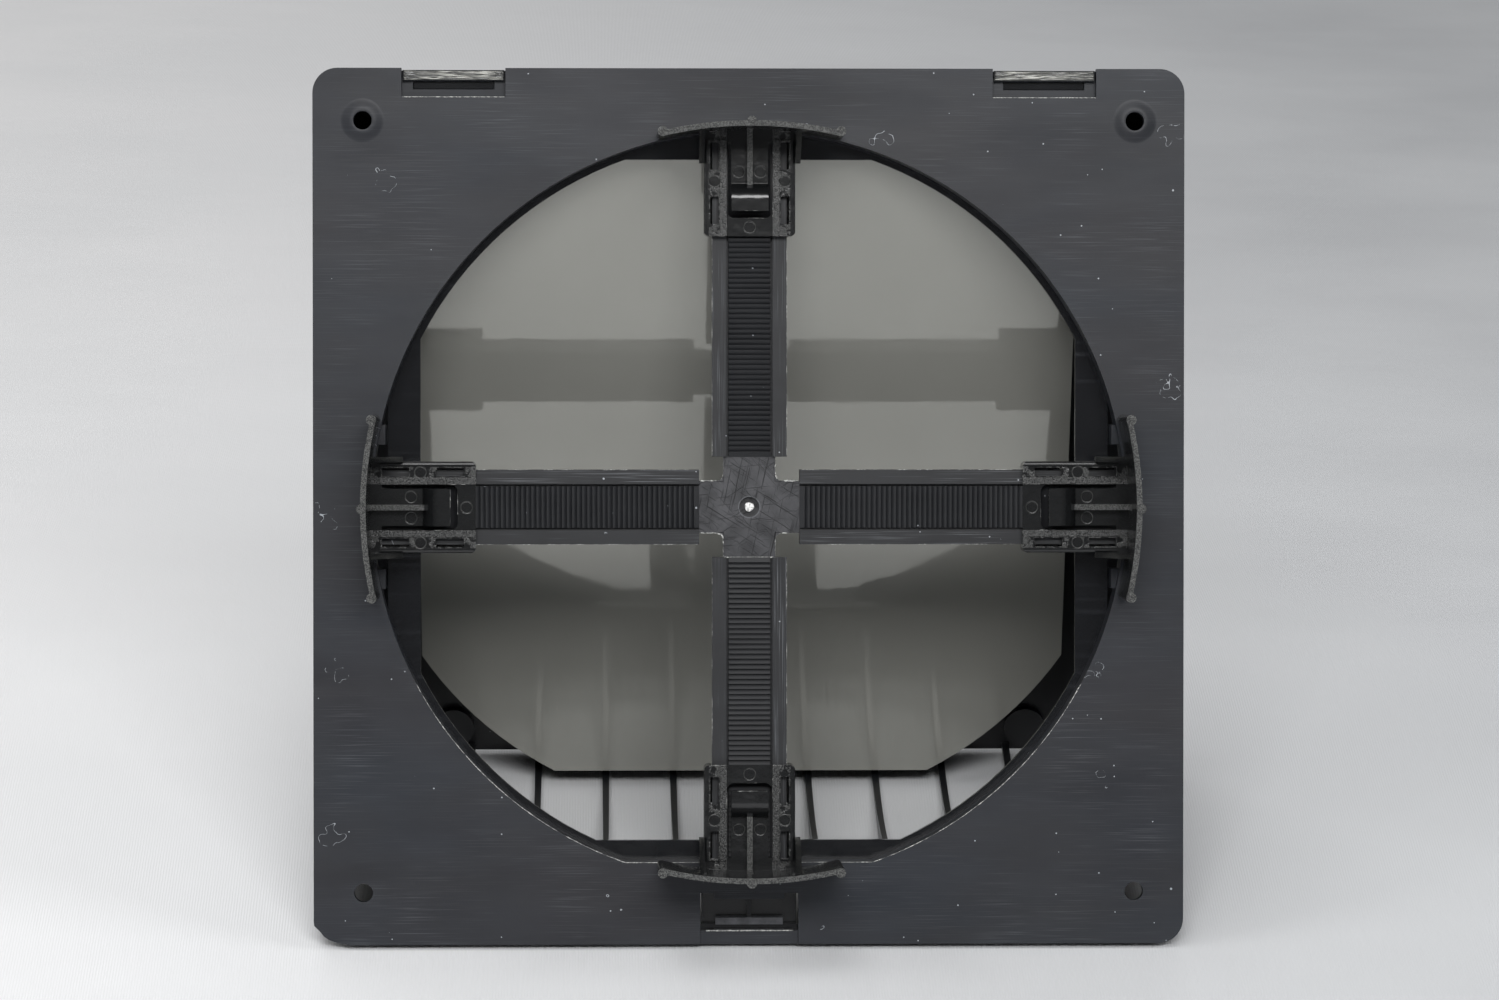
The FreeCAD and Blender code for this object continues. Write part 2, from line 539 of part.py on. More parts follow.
def flap():
    """The leaf and its hinge rod, closed at first, then tilted about the hinge to hang open."""
    front = f"{FRAME_FRONT} + fit_gap"
    depth = (front, f"{front} + flap_thickness")
    half = ("-flap_width / 2", "flap_width / 2")
    leaf = chorded_disc("flap_leaf_low", "flap_radius", depth, "flap_width / 2", "0", "flap_bottom")
    upper = box("flap_leaf_high", half, depth, ("-(flap_radius / 2)", "hinge_height"))
    reach = "flap_width / 2 + ear_gap + ear_thickness"
    rod = rod_x("flap_rod", "pin_radius", (f"-({reach})", reach), HINGE_Y, "hinge_height")
    closed = fuse("flap_closed", leaf, upper, rod)
    doc.recompute()
    hinge = Vector(0, size["hinge_level"], size["hinge_height"])
    made = doc.addObject("Part::Compound", "flap_whole")
    made.Links = [closed]
    made.Placement = Placement(Vector(), Rotation(Vector(1, 0, 0), size["flap_tilt"]), hinge)
    return made


def hood_block(name, inset, round_side, round_brow, behind, below):
    """The sloping hood as a solid block, its walls moved in by a number; open ends run past."""
    slope = math.radians(size["hood_slope"])
    top = size["plate_height"] / 2 - size["hood_inset"] - inset
    half = size["plate_width"] / 2 - size["hood_inset"] - inset
    back = size["plate_thickness"] + size["fit_gap"] - behind
    foot = size["hood_lift"] - size["plate_height"] / 2
    lip_y = size["hood_depth"] - inset / math.cos(slope)

    def underside(y):
        return foot + y * math.tan(slope) - below

    lip_z = underside(size["hood_depth"])
    brow_y = lip_y - (top - lip_z - below) * math.tan(slope)
    lip_y = lip_y + below * math.tan(slope)
    outline = [(back, underside(back)), (lip_y, lip_z), (brow_y, top), (back, top)]
    block = profile_prism(name + "_block", outline, (-half, half))
    shape = block.Shape

    def on_brow(edge):
        middle = edge.CenterOfMass
        return abs(middle.x) < TINY and abs(middle.y - brow_y) < TINY and abs(middle.z - top) < TINY

    def on_side(edge):
        middle = edge.CenterOfMass
        above = below == 0 or edge.BoundBox.ZMax > lip_z + TINY
        return abs(abs(middle.x) - half) < TINY and middle.y > back + TINY and above

    shape = shape.makeFillet(round_brow, [edge for edge in shape.Edges if on_brow(edge)])
    shape = shape.makeFillet(round_side, [edge for edge in shape.Edges if on_side(edge)])
    block.Shape = shape
    return block


def fin_row(outer):
    """Outlet fins from the rear sill to the front wall, under the sweep of the flap."""
    bars = []
    for number in range(-FIN_SIDE_COUNT, FIN_SIDE_COUNT + 1):
        middle = f"{number} * fin_pitch"
        fin = doc.addObject("Part::Wedge", f"fin_{number + FIN_SIDE_COUNT + 1}")
        bind(fin, Xmin=f"{middle} - fin_back / 2", Xmax=f"{middle} + fin_back / 2")
        bind(fin, X2min=f"{middle} - fin_front / 2", X2max=f"{middle} + fin_front / 2")
        bind(fin, Ymin=HOOD_BACK, Ymax="hood_depth")
        bind(fin, Zmin="-plate_height", Z2min="-plate_height", Zmax="0", Z2max="0")
        bars.append(fin)
    sill = (HOOD_BACK, f"{HOOD_BACK} + sill_depth")
    rise = f"{FOOT} + hood_lift + tan(hood_slope) * ({HOOD_BACK}) + sill_height"
    bars.append(box("rear_sill", (f"-({HOOD_HALF})", HOOD_HALF), sill, (FOOT, rise)))
    wide = ("-plate_width", "plate_width")
    sweep = rod_x("flap_swing", "flap_sweep + fin_clear", wide, HINGE_Y, "hinge_height")
    room = ("-(frame_bottom + fin_clear)", "plate_height")
    gap = box("frame_gap", wide, ("0", f"{FRAME_FRONT} + frame_room"), room)
    return common("fins", fuse("fin_blanks", *bars), cut("fin_envelope", outer, sweep, gap))


def hood_hook(side, sign):
    middle = f"{sign} * notch_offset"
    across = (f"{middle} - hook_width / 2", f"{middle} + hook_width / 2")
    lip_front = "notch_recess - fit_gap"
    rear = f"{lip_front} - hook_lip"
    sheet_y = (rear, f"{HOOD_BACK} + hood_wall")
    over = box(f"hook_{side}_sheet", across, sheet_y, (f"{HOOD_TOP} - hook_sheet", HOOD_TOP))
    lip = box(f"hook_{side}_lip", across, (rear, lip_front), (f"{HOOD_TOP} - hook_drop", HOOD_TOP))
    low = "plate_height / 2 - notch_height + shelf_slot_low + peg_play"
    half = "shelf_slot_width / 2 - peg_play"
    slot = (f"{middle} - ({half})", f"{middle} + {half}")
    peg_y = ("notch_recess + peg_sunk", f"{HOOD_BACK} + join_depth")
    peg = box(f"hook_{side}_peg", slot, peg_y, (low, f"{low} + shelf_slot_height - 2 * peg_play"))
    root_y = (HOOD_BACK, f"{HOOD_BACK} + peg_root")
    root = box(f"hook_{side}_peg_root", slot, root_y, (low, f"{HOOD_TOP} - hood_wall / 2"))
    return fuse(f"hook_{side}", over, lip, peg, root)


def front_boss(side, sign):
    """A round boss on the inside of the front wall, square to it."""
    slope = math.radians(size["hood_slope"])
    inward = Vector(0, -math.cos(slope), -math.sin(slope))
    lip_z = size["hood_lift"] - size["plate_height"] / 2 + size["hood_depth"] * math.tan(slope)
    level = -size["boss_level"]
    surface = size["hood_depth"] - (level - lip_z) * math.tan(slope)
    start = Vector(sign * size["boss_offset"], surface, level) + inward * (size["hood_wall"] / 2)
    boss = doc.addObject("Part::Cylinder", f"front_boss_{side}")
    bind(boss, Radius="boss_radius", Height="hood_wall / 2 + boss_height")
    boss.Placement = Placement(start, Rotation(Vector(0, 0, 1), inward))
    return boss


def latch_tab():
    """The latch tab with its nose, on the rear sill, and the screen that closes the view behind it."""
    half = ("-tab_width / 2", "tab_width / 2")
    stem_y = (HOOD_BACK, f"{HOOD_BACK} + tab_thickness")
    nose_y = ("latch_recess + fit_gap", f"{HOOD_BACK} + join_depth")
    screen_back = f"{HOOD_BACK} + sill_depth"
    screen_y = (f"{screen_back} - join_depth", f"{screen_back} + screen_depth")
    screen_rise = (f"{FOOT} + tab_foot", f"{FOOT} + screen_height")
    screen = box("latch_screen", ("-screen_half", "screen_half"), screen_y, screen_rise)
    top = f"{FOOT} + tab_height"
    stem = box("latch_tab_stem", half, stem_y, (f"{FOOT} + tab_foot", top))
    nose = box("latch_nose", half, nose_y, (f"{top} - nose_height", top))
    return fuse("latch_tab_whole", stem, nose, screen)


def hood():
    wall = size["hood_wall"]
    corner = size["hood_corner"]
    brow = size["hood_brow"]
    outer = hood_block("hood_outer", 0.0, corner, brow, 0.0, 0.0)
    inner = hood_block("hood_inner", wall, corner - wall, brow - wall, PAST_BACK, PAST_FOOT)
    extras = [fin_row(outer), latch_tab()]
    for side, sign in (("left", -1), ("right", 1)):
        extras += [hood_hook(side, sign), front_boss(side, sign)]
    return fuse("hood_whole", cut("hood_shell", outer, inner), *extras)


# Levels of a clip, as expressions: its length runs along +X until it is turned into place
COVER_FRONT = "-clip_play"
COVER_BACK = "-clip_play - clip_cover"
HOOK_FRONT = "arm_depth + clip_play + clip_hook"
CLIP_END = "clip_inner + clip_length"
CHANNEL = "arm_width / 2 + clip_play"


def clip_window(name):
    """The U-shaped window round the spring tongue, with rounded inner corners."""
    half = "tongue_width / 2 + tongue_gap"
    start = "clip_inner + strap_length"
    deep = (f"{COVER_BACK} - 1", f"{COVER_FRONT} + 0.1")
    rounded = f"{start} + window_corner"
    narrow = (f"window_corner - ({half})", f"{half} - window_corner")
    parts = [
        box(f"{name}_long", (rounded, CLIP_END), deep, (f"-({half})", half)),
        box(f"{name}_short", (start, f"{rounded} + 0.1"), deep, narrow),
    ]
    for side, sign in (("low", -1), ("high", 1)):
        spot = (rounded, f"{sign} * ({half} - window_corner)")
        parts.append(rod_y(f"{name}_corner_{side}", "window_corner", deep, *spot))
    return fuse(name, *parts)


def clip_marks(name):
    """Round ejector marks, as shallow discs to cut away."""
    deep = (f"{COVER_BACK} - 1", f"{COVER_BACK} + mark_depth")
    along = "clip_inner + mark_along"
    spots = [(along, "clip_width / 2 - mark_side"), (along, "mark_side - clip_width / 2")]
    spots.append(("clip_inner + strap_length / 2", "0"))
    marks = []
    for number, (x, z) in enumerate(spots, start=1):
        sunk = (deep[0], f"{deep[1]} + strap_drop") if z == "0" else deep
        marks.append(rod_y(f"{name}_{number}", "mark_radius", sunk, x, z))
    return marks


def clip_slots(name):
    """Two slots in each rail and a shallow pocket along them, as blocks to cut away."""
    inner = "clip_width / 2 - slot_side - slot_width"
    outer = "clip_width / 2 - slot_side"
    through = (f"{COVER_BACK} - 1", "arm_depth + clip_play")
    shallow = (f"{COVER_BACK} - 1", f"{COVER_BACK} + pocket_depth")
    cuts = []
    for number, first in enumerate(("slot_first", "slot_second"), start=1):
        start = f"clip_inner + {first}"
        along = (start, f"{start} + slot_length")
        for side, sign in (("low", -1), ("high", 1)):
            cuts.append(box(f"{name}_{number}_{side}", along, through, mirrored(sign, inner, outer)))
    wide = ("clip_inner + pocket_end", f"{CLIP_END} + 1")
    for side, sign in (("low", -1), ("high", 1)):
        rim = mirrored(sign, f"{inner} - pocket_rim", f"{outer} + pocket_rim")
        cuts.append(box(f"{name}_pocket_{side}", wide, shallow, rim))
    half = "tongue_width / 2 + tongue_gap"
    strap = ("clip_inner - 1", "clip_inner + strap_length + window_corner")
    cuts.append(box(f"{name}_strap", strap, (through[0], f"{COVER_BACK} + strap_drop"), (f"-({half})", half)))
    return cuts


def clip_hooks(name):
    """Four hooks in front of the arm, one under each slot."""
    hooks = []
    for number, first in enumerate(("slot_first", "slot_second"), start=1):
        along = (f"clip_inner + {first}", f"clip_inner + {first} + slot_length")
        for side, sign in (("low", -1), ("high", 1)):
            across = mirrored(sign, f"{CHANNEL} - clip_grip", "clip_width / 2")
            hooks.append(box(f"{name}_{number}_{side}", along, ("arm_depth + clip_play", HOOK_FRONT), across))
    return hooks


def clip_tongue(name):
    """The spring tongue with its curled finger tab and centre rib."""
    half = ("-tongue_width / 2", "tongue_width / 2")
    wide = ("-tongue_width", "tongue_width")
    front = f"{COVER_FRONT} - tongue_lift"
    back = f"{front} - tongue_sheet"
    sunk = f"{back} + tongue_lift"
    start = "clip_inner + tongue_start"
    leaf = box(f"{name}_leaf", (start, f"{CLIP_END} + join_depth"), (back, front), half)
    marks = []
    for side, sign in (("low", -1), ("high", 1)):
        deep = (f"{back} - 1", f"{back} + leaf_mark_depth")
        spot = ("clip_inner + leaf_mark_along", f"{sign} * leaf_mark_side")
        marks.append(rod_y(f"{name}_mark_{side}", "mark_radius", deep, *spot))
    marked = cut(f"{name}_marked", leaf, *marks)
    lip_x = f"{start} - tab_overhang"
    root_x = f"{lip_x} + tab_run"
    curl_x = f"{root_x} - tab_rise"
    outer = rod_z(f"{name}_curl_outer", "tab_rise", half, curl_x, back)
    inner = rod_z(f"{name}_curl_inner", "tab_rise - tab_sheet", wide, curl_x, back)
    quarter = box(f"{name}_quarter", (curl_x, root_x), (f"{back} - 2 * tab_rise", sunk), wide)
    rise = common(f"{name}_rise", cut(f"{name}_curl", outer, inner), quarter)
    lip_y = (f"{back} - tab_rise", f"{back} - tab_rise + tab_sheet")
    lip = box(f"{name}_lip", (lip_x, f"{curl_x} + 0.05"), lip_y, half)
    along = (f"{root_x} - rib_start", "pad_radius - pad_sheet / 2")
    rib = box(f"{name}_rib", along, (f"{back} - rib_height", sunk), ("-rib_width / 2", "rib_width / 2"))
    return fuse(name, marked, rise, lip, rib)


def clip_pad(name):
    """The curved grip pad with three round ribs, and a gusset each side of the clip body."""
    deep = ("-pad_depth", COVER_FRONT)
    past = ("-(pad_depth + 1)", "1")
    outer = rod_y(f"{name}_outer", "pad_radius + pad_relief", deep)
    inner = rod_y(f"{name}_inner", "pad_radius + pad_relief - pad_sheet", past)
    sector = box(f"{name}_sector", ("0", "pad_radius + 1"), deep, ("-pad_half", "pad_half"))
    parts = [common(f"{name}_wall", cut(f"{name}_ring", outer, inner), sector)]
    bow = "sqrt(pad_radius ^ 2 - pad_half ^ 2)"
    for side, x, z in (("low", bow, "-pad_half"), ("middle", "pad_radius", "0"), ("high", bow, "pad_half")):
        parts.append(rod_y(f"{name}_rib_{side}", "pad_rib", deep, x, z))
    root = size["pad_radius"] - size["pad_sheet"] / 2
    tip = root - size["gusset_length"]
    front = -size["clip_play"]
    low = front - size["clip_cover"] - size["gusset_tip"]
    outline = [(tip, front), (tip, low), (root, -size["gusset_reach"]), (root, front)]
    for side, sign in (("low", -1), ("high", 1)):
        edge = sign * (size["clip_width"] / 2 - size["join_depth"] / 4)
        wire = Part.makePolygon([Vector(x, y, edge) for x, y in outline + outline[:1]])
        gusset = doc.addObject("Part::Feature", f"{name}_gusset_{side}")
        gusset.Shape = Part.Face(wire).extrude(Vector(0, 0, sign * size["gusset_sheet"]))
        parts.append(gusset)
    return fuse(name, *parts)


def clip(name, turn, seat):
    """One ratchet clip, made along +X, then turned about Y and moved along its arm to its seat."""
    half = ("-clip_width / 2", "clip_width / 2")
    block = box(f"{name}_block", ("clip_inner", CLIP_END), (COVER_BACK, HOOK_FRONT), half)
    eased = doc.addObject("Part::Fillet", f"{name}_eased")
    doc.recompute()
    eased.Base = block
    back = -size["clip_play"] - size["clip_cover"]
    edges = []
    for index, edge in enumerate(block.Shape.Edges, start=1):
        middle = edge.CenterOfMass
        if abs(abs(middle.z) - size["clip_width"] / 2) > TINY:
            continue
        if abs(middle.x - size["clip_inner"]) < TINY:
            edges.append((index, size["clip_corner"], size["clip_corner"]))
        if abs(middle.y - back) < TINY:
            edges.append((index, size["clip_edge"], size["clip_edge"]))
    eased.Edges = edges
    along = ("clip_inner - 1", f"{CLIP_END} + 1")
    across = (f"-({CHANNEL})", CHANNEL)
    channel = box(f"{name}_channel", along, (COVER_FRONT, f"{HOOK_FRONT} + 1"), across)
    floor_x = (f"{CLIP_END} - join_depth", "pad_radius - pad_sheet / 2")
    floor = box(f"{name}_floor", floor_x, (f"{COVER_BACK} + floor_step", COVER_FRONT), half)
    cuts = [channel, clip_window(f"{name}_window"), *clip_marks(f"{name}_mark"), *clip_slots(f"{name}_slot")]
    body = cut(f"{name}_body", eased, *cuts)
    parts = [body, floor, *clip_hooks(f"{name}_hook"), clip_tongue(f"{name}_tongue"), clip_pad(f"{name}_pad")]
    made = fuse(f"{name}_whole", *parts)
    turned = Rotation(Vector(0, 1, 0), turn)
    made.Placement = Placement(turned.multVec(Vector(seat, 0, 0)), turned)
    return made


def place(made, label):
    made.Label = label
    return made


pieces = [
    place(base_plate(), "base_plate"),
    place(valve_frame(), "valve_frame"),
    place(flap(), "flap"),
    place(hood(), "hood"),
    place(clip("clip_right", 0, 0.0), "clip_right"),
    place(clip("clip_bottom", 90, size["bottom_seat"]), "clip_bottom"),
    place(clip("clip_left", 180, 0.0), "clip_left"),
    place(clip("clip_top", 270, size["top_seat"]), "clip_top"),
]

doc.recompute()

for item in doc.Objects:
    if "Invalid" in item.State or "Error" in item.State:
        raise RuntimeError(f"{item.Label} did not build: {item.State}")

os.makedirs("parts", exist_ok=True)
for piece in pieces:
    if piece.Shape.isNull() or not piece.Shape.isValid():
        raise RuntimeError(f"{piece.Label} is not a valid shape")
    piece.Shape.exportStep(f"parts/{piece.Label}.step")
    print(piece.Label, len(piece.Shape.Solids), round(piece.Shape.Volume), len(piece.Shape.Faces))
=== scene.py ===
"""Looks of a hooded vent grille seen from its wall side: moulded pieces with eased edges, the flash, burrs
and torn gate that moulding leaves on them, pale beads that are partly painted highlights on lit edges,
their finishes, and a plain stage."""

import math

import bmesh
import bpy
import numpy as np
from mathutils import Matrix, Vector


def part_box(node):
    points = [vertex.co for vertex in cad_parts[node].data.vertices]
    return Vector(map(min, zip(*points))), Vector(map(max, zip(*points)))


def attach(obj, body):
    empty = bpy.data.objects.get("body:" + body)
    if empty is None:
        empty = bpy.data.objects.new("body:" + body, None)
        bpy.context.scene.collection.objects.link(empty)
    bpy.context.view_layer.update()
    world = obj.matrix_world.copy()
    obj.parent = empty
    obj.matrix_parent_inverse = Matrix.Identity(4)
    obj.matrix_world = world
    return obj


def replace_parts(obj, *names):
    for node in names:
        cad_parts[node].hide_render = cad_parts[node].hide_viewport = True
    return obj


bl_info = {
    "name": "Hooded Vent Grille",
    "version": (1, 0, 0),
    "blender": (4, 5, 0),
    "location": "3D View > Sidebar > Grille",
    "description": "Moulded pieces, flash and finishes of a hooded vent grille around its packed model",
    "category": "Add Mesh",
}

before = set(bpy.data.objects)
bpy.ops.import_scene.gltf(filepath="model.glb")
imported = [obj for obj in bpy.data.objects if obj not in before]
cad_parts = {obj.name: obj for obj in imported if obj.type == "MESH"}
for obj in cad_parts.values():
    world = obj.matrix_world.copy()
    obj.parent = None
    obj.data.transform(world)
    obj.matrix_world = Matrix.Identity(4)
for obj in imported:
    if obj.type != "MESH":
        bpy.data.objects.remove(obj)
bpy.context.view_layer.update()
MM = 0.001
BEAD_STEP = 0.25 * MM  # between the rings of a bead
BREAK_STEP = 1.5 * MM  # between the places where a bead may break off

# How far each arm is turned about Y from the right one
TURNS = {"right": 0.0, "bottom": math.radians(90), "left": math.radians(180), "top": math.radians(270)}
# Quarters of the hub, as the signs of x and z
QUARTERS = ((1, 1), (-1, 1), (-1, -1), (1, -1))
# Scratches on the hub: turn about Y, width and length in millimetres
HUB_SCORES = ((0.6, 0.22, 10.0), (-0.55, 0.2, 8.0), (1.35, 0.2, 9.0), (2.3, 0.18, 12.0), (0.1, 0.18, 7.0))
# Ejector marks of a clip, in millimetres from its inner end and to each side of its middle
EJECTOR_MARKS = ((11.0, 7.05), (12.9, 2.15), (1.8, 0.0))
# Ends of the ribs on a pad, in millimetres outwards and sideways from the centre, on the right arm
RIB_ENDS = ((77.1, 0.0), (75.3, 16.6), (75.3, -16.6))
# Soft lights: name, place, target, width and height in metres, and the stage value that holds the power
LIGHTS = (
    ("key_light", (-0.3, -0.85, 1.5), (0, 0, 0), 1.0, 0.8, "key"),
    ("fill_light", (0.06, -1.15, 0.47), (0, 0, 0), 0.9, 0.34, "fill"),
    ("back_light", (-0.4, 1.05, 1.9), (-0.1, 0.75, 0.1), 2.0, 1.8, "back"),
    ("left_light", (-1.4, -0.5, 0.6), (0, 0, 0), 0.6, 0.9, "side"),
    ("right_light", (1.4, -0.5, 0.6), (0, 0, 0), 0.6, 0.9, "side"),
)
# Ridges on the dragged edge of a hook: how many down it, and their height in millimetres
DRAG_RIDGES = ((5, 0.05), (9, 0.04), (17, 0.02))


def linear(hex_colour):
    """A linear RGBA colour from sRGB hex: c / 12.92 below 0.04045, else ((c + 0.055) / 1.055) ^ 2.4."""
    values = [int(hex_colour[i : i + 2], 16) / 255 for i in (1, 3, 5)]
    return tuple(c / 12.92 if c <= 0.04045 else ((c + 0.055) / 1.055) ** 2.4 for c in values) + (1.0,)


def paint(name, description, hex_colour):
    """A colour property with its default in sRGB hex."""
    return bpy.props.FloatVectorProperty(
        name=name, description=description, subtype="COLOR", size=4, default=linear(hex_colour)
    )


def length(name, description, millimetres):
    """A length property with its default in millimetres."""
    return bpy.props.FloatProperty(
        name=name, description=description, unit="LENGTH", default=millimetres * MM
    )


def angle(name, description, degrees):
    """An angle property with its default in degrees."""
    return bpy.props.FloatProperty(
        name=name, description=description, unit="ROTATION", default=math.radians(degrees)
    )


def power(name, description, watts):
    """The power of a light, in watts."""
    return bpy.props.FloatProperty(name=name, description=description, unit="POWER", default=watts)


class GrilleColours(bpy.types.PropertyGroup):
    plate: paint("Plate", "Satin back of the base plate", "#1a1c21")
    plate_cool: paint("Plate, cool", "Bluish clouds of the plate", "#171d26")
    plate_warm: paint("Plate, warm", "Purplish clouds of the plate", "#1c1b20")
    cross: paint("Cross", "Toothed cross", "#191a1d")
    valve_frame: paint("Valve frame", "Polished valve frame", "#17181b")
    flap: paint("Flap", "Hanging flap", "#989892")
    hood: paint("Hood", "Hood and fins", "#18191b")
    clip: paint("Clips", "Ratchet clips", "#151617")
    # Painted glints: pale flecks laid on the clips' grain stand for light glancing off it.
    grain_glint: paint("Clip grain", "Glittering grain of the clips", "#636462")
    dust: paint("Dust", "Dust specks and rubbed lines", "#a9adb3")
    # Its pale colour is partly painted highlight: most beads that carry it lie along edges that catch the
    # light.
    whitened: paint("Whitened plastic", "Burrs and torn plastic, whitened where it was stretched", "#c9cac6")
    floor: paint("Floor", "Plain sheet under the grille, at its left", "#ebebec")
    # Painted shade: the same sheet painted darker towards its right.
    floor_right_shaded: paint("Floor, right", "The same sheet, at its right", "#babcbf")


class GrilleSizes(bpy.types.PropertyGroup):
    plate_edge: length("Plate edge", "Rounding of the plate's edges", 0.12)
    clip_edge: length("Clip edge", "Rounding of the clips' edges", 0.12)
    hood_edge: length("Hood edge", "Rounding of the hood's edges", 0.25)
    duct_radius: length("Duct radius", "Round opening in the base plate", 75.7)
    duct_flat: length("Duct flat", "Centre down to the flat of that opening", 71.5)
    hub_face: length("Hub face", "Back of the arms forward to the hub's face", 0.9)
    hub_depth: length("Hub depth", "Hub face forward to the front of the cross", 3.1)
    hub_neck: length("Hub neck", "Half width of the cross at the hub", 5.25)
    hub_corner: length("Hub corner", "Rounded corners where the necks meet", 1.3)
    hub_end: length("Hub end", "Centre to the inner end of an arm's rails", 10.1)
    arm_half: length("Arm half", "Half width of an arm", 7.5)
    teeth_half: length("Teeth half", "Half width of the teeth on an arm, with their grooves", 4.9)
    hole_middle: length("Hole middle", "Centre to a screw hole, across and up", 77.5)
    gate_radius: length("Gate stub", "Radius of the torn gate stub", 0.93)
    gate_back: length("Gate end", "Back of the arms forward to the end of the stub", 1.0)
    gate_bulge: length("Gate bulge", "How far the middle of the torn stub stands out", 0.30)
    gate_tear: length("Gate tears", "Depth of the tears in it", 0.10)
    gate_wall: length("Gate wall", "Height of its wall, part of it inside the hub", 0.5)
    notch_middle: length("Notch middle", "Hook notches, from the middle", 59.3)
    notch_half: length("Notch half", "Half width of a hook notch", 10.4)
    notch_low: length("Notch low", "Lower edge of a hook notch, below the top of the plate", 5.8)
    latch_half: length("Latch half", "Half width of the latch notch", 9.85)
    latch_bar: length("Latch bar", "Top of the bar under the latch notch, above the foot", 2.7)
    latch_back: length("Latch bar face", "Back of the plate forward to that bar", 0.6)
    lip_half: length("Hook edge half", "Half width of the dragged edge of a hook", 10.15)
    lip_tall: length("Hook edge height", "Height of that edge", 1.86)
    lip_top: length("Hook edge top", "Top of the hood down to that edge", 0.12)
    lip_face: length("Hook edge face", "Back of the plate forward to that edge's face", 0.49)
    lip_root: length("Hook edge root", "Back of the plate forward to that edge's border", 0.6)
    # The pale beads stand for flash, burrs and rubbed edges, and most are also painted highlights on lit
    # edges.
    opening_bead: length("Opening flash", "Radius of the bead along the rim of the opening", 0.10)
    notch_bead: length("Notch flash", "Radius of the bead along the hook notches", 0.10)
    latch_bead: length("Latch flash", "Radius of the bead along the latch bar", 0.17)
    corner_bead: length("Hub trimmings", "Radius of the beads round the hub's corners", 0.21)
    hub_bead: length("Hub lip", "Radius of the bead under the hub", 0.14)
    rail_bead: length("Rubbed edges", "Radius of the beads along the arms' rails", 0.055)
    clip_bead: length("Clip flash", "Radius of the beads on the clips", 0.05)
    nose_half: length("Latch nose half", "Half width of the nose on the hood's latch", 6.8)
    nose_low: length("Latch nose low", "Centre down to the foot of that nose", 84.3)
    nose_high: length("Latch nose high", "Centre down to the top of that nose", 82.7)
    clip_half: length("Clip half", "Half width of a clip body", 9.15)
    clip_back: length("Clip back", "Back face of a clip, behind the arms", 2.1)
    window_half: length("Window half", "Half width of the window round the tongue", 4.6)
    window_start: length("Window start", "Inner end of a clip to its window", 3.6)
    tab_start: length("Tab start", "Inner end of a clip to the lip of its finger tab", 5.0)
    tab_back: length("Tab back", "Back of the finger tab, behind the arms", 4.75)
    tab_half: length("Tab half", "Half width of the finger tab", 3.7)


class GrilleStage(bpy.types.PropertyGroup):
    slope: angle("Sheet slope", "Rise of the sheet under the hood", 22.8)
    far_slope: angle("Far slope", "Rise of the sheet far ahead", 12.0)
    slope_start: length("Slope start", "Back of the plate forward to where the sheet rises", 3.0)
    slope_run: length("Slope run", "Run of the sheet at its first slope", 80.0)
    slope_ease: length("Slope easing", "Run over which it eases to the far slope", 90.0)
    fall_run: length("Sheet fall", "Run over which the sheet falls away behind the grille", 400.0)
    lens: bpy.props.FloatProperty(
        name="Lens", description="Focal length on a 36 mm sensor", unit="CAMERA", default=128.0
    )
    eye: bpy.props.FloatVectorProperty(
        name="Eye", description="Place of the camera", unit="LENGTH", size=3, default=(-0.030, -1.070, 0.0235)
    )
    yaw: angle("Yaw", "Camera turned to its right", 1.607)
    pitch: angle("Pitch", "Camera tipped down", 1.182)
    key: power("Key light", "Power of the soft light high behind the camera", 7.5)
    fill: power("Fill light", "Power of the low soft light just above the camera", 10.5)
    back: power("Back light", "Power of the wide light over the far sheet", 17.0)
    side: power("Side lights", "Power of each light beside the grille", 7.0)
    ambient: bpy.props.FloatProperty(
        name="Ambient", description="Strength of the plain surroundings", default=0.10
    )


def node(tree, kind, inputs=None, **settings):
    """Adds a shader node with its settings, and sets or links its inputs, which are given by name or place;
    a node given as an input stands for its main output."""
    made = tree.nodes.new("ShaderNode" + kind)
    for name, value in settings.items():
        setattr(made, name, value)
    for name, value in (inputs or {}).items():
        if isinstance(value, bpy.types.Node):
            value = value.outputs[2 if value.bl_idname == "ShaderNodeMix" else 0]
        if isinstance(value, bpy.types.NodeSocket):
            tree.links.new(value, made.inputs[name])
        else:
            made.inputs[name].default_value = value
    return made


def new_material(name, turn=0.0):
    """An empty node material and its Object coordinates in millimetres, turned back about Y by turn."""
    made = bpy.data.materials.new(name)
    made.use_nodes = True
    tree = made.node_tree
    tree.nodes.clear()
    place = node(tree, "TexCoord").outputs["Object"]
    place = node(tree, "Mapping", {0: place, 2: (0.0, -turn, 0.0), 3: (1 / MM,) * 3})
    return made, tree, place


def finish(tree, base, layers, rough, bumps, **settings):
    """Closes a material: the base colour under layers of (share, colour), the roughness, and a face raised by
    bumps of (height, depth in millimetres)."""
    for share, colour in layers:
        base = node(tree, "Mix", {0: share, 6: base, 7: colour}, data_type="RGBA")
    inputs = {"Base Color": base, "Roughness": rough, **settings}
    for height, depth in bumps:
        raised = {"Height": height, "Strength": 1.0, "Distance": depth * MM}
        if "Normal" in inputs:
            raised["Normal"] = inputs["Normal"]
        inputs["Normal"] = node(tree, "Bump", raised)
    node(tree, "OutputMaterial", {"Surface": node(tree, "BsdfPrincipled", inputs)})


def clouds(tree, place, width, low, high, seed=0.0, soft=0.15):
    """Clouds about width millimetres wide, valued low to high; a greater soft gives softer edges."""
    moved = node(tree, "Mapping", {0: place, 1: (seed, seed, seed), 3: (1 / width,) * 3})
    noise = node(tree, "TexNoise", {"Vector": moved, "Scale": 1.0, "Detail": 3.0})
    return node(tree, "MapRange", {0: noise, 1: 0.5 - soft, 2: 0.5 + soft, 3: low, 4: high})


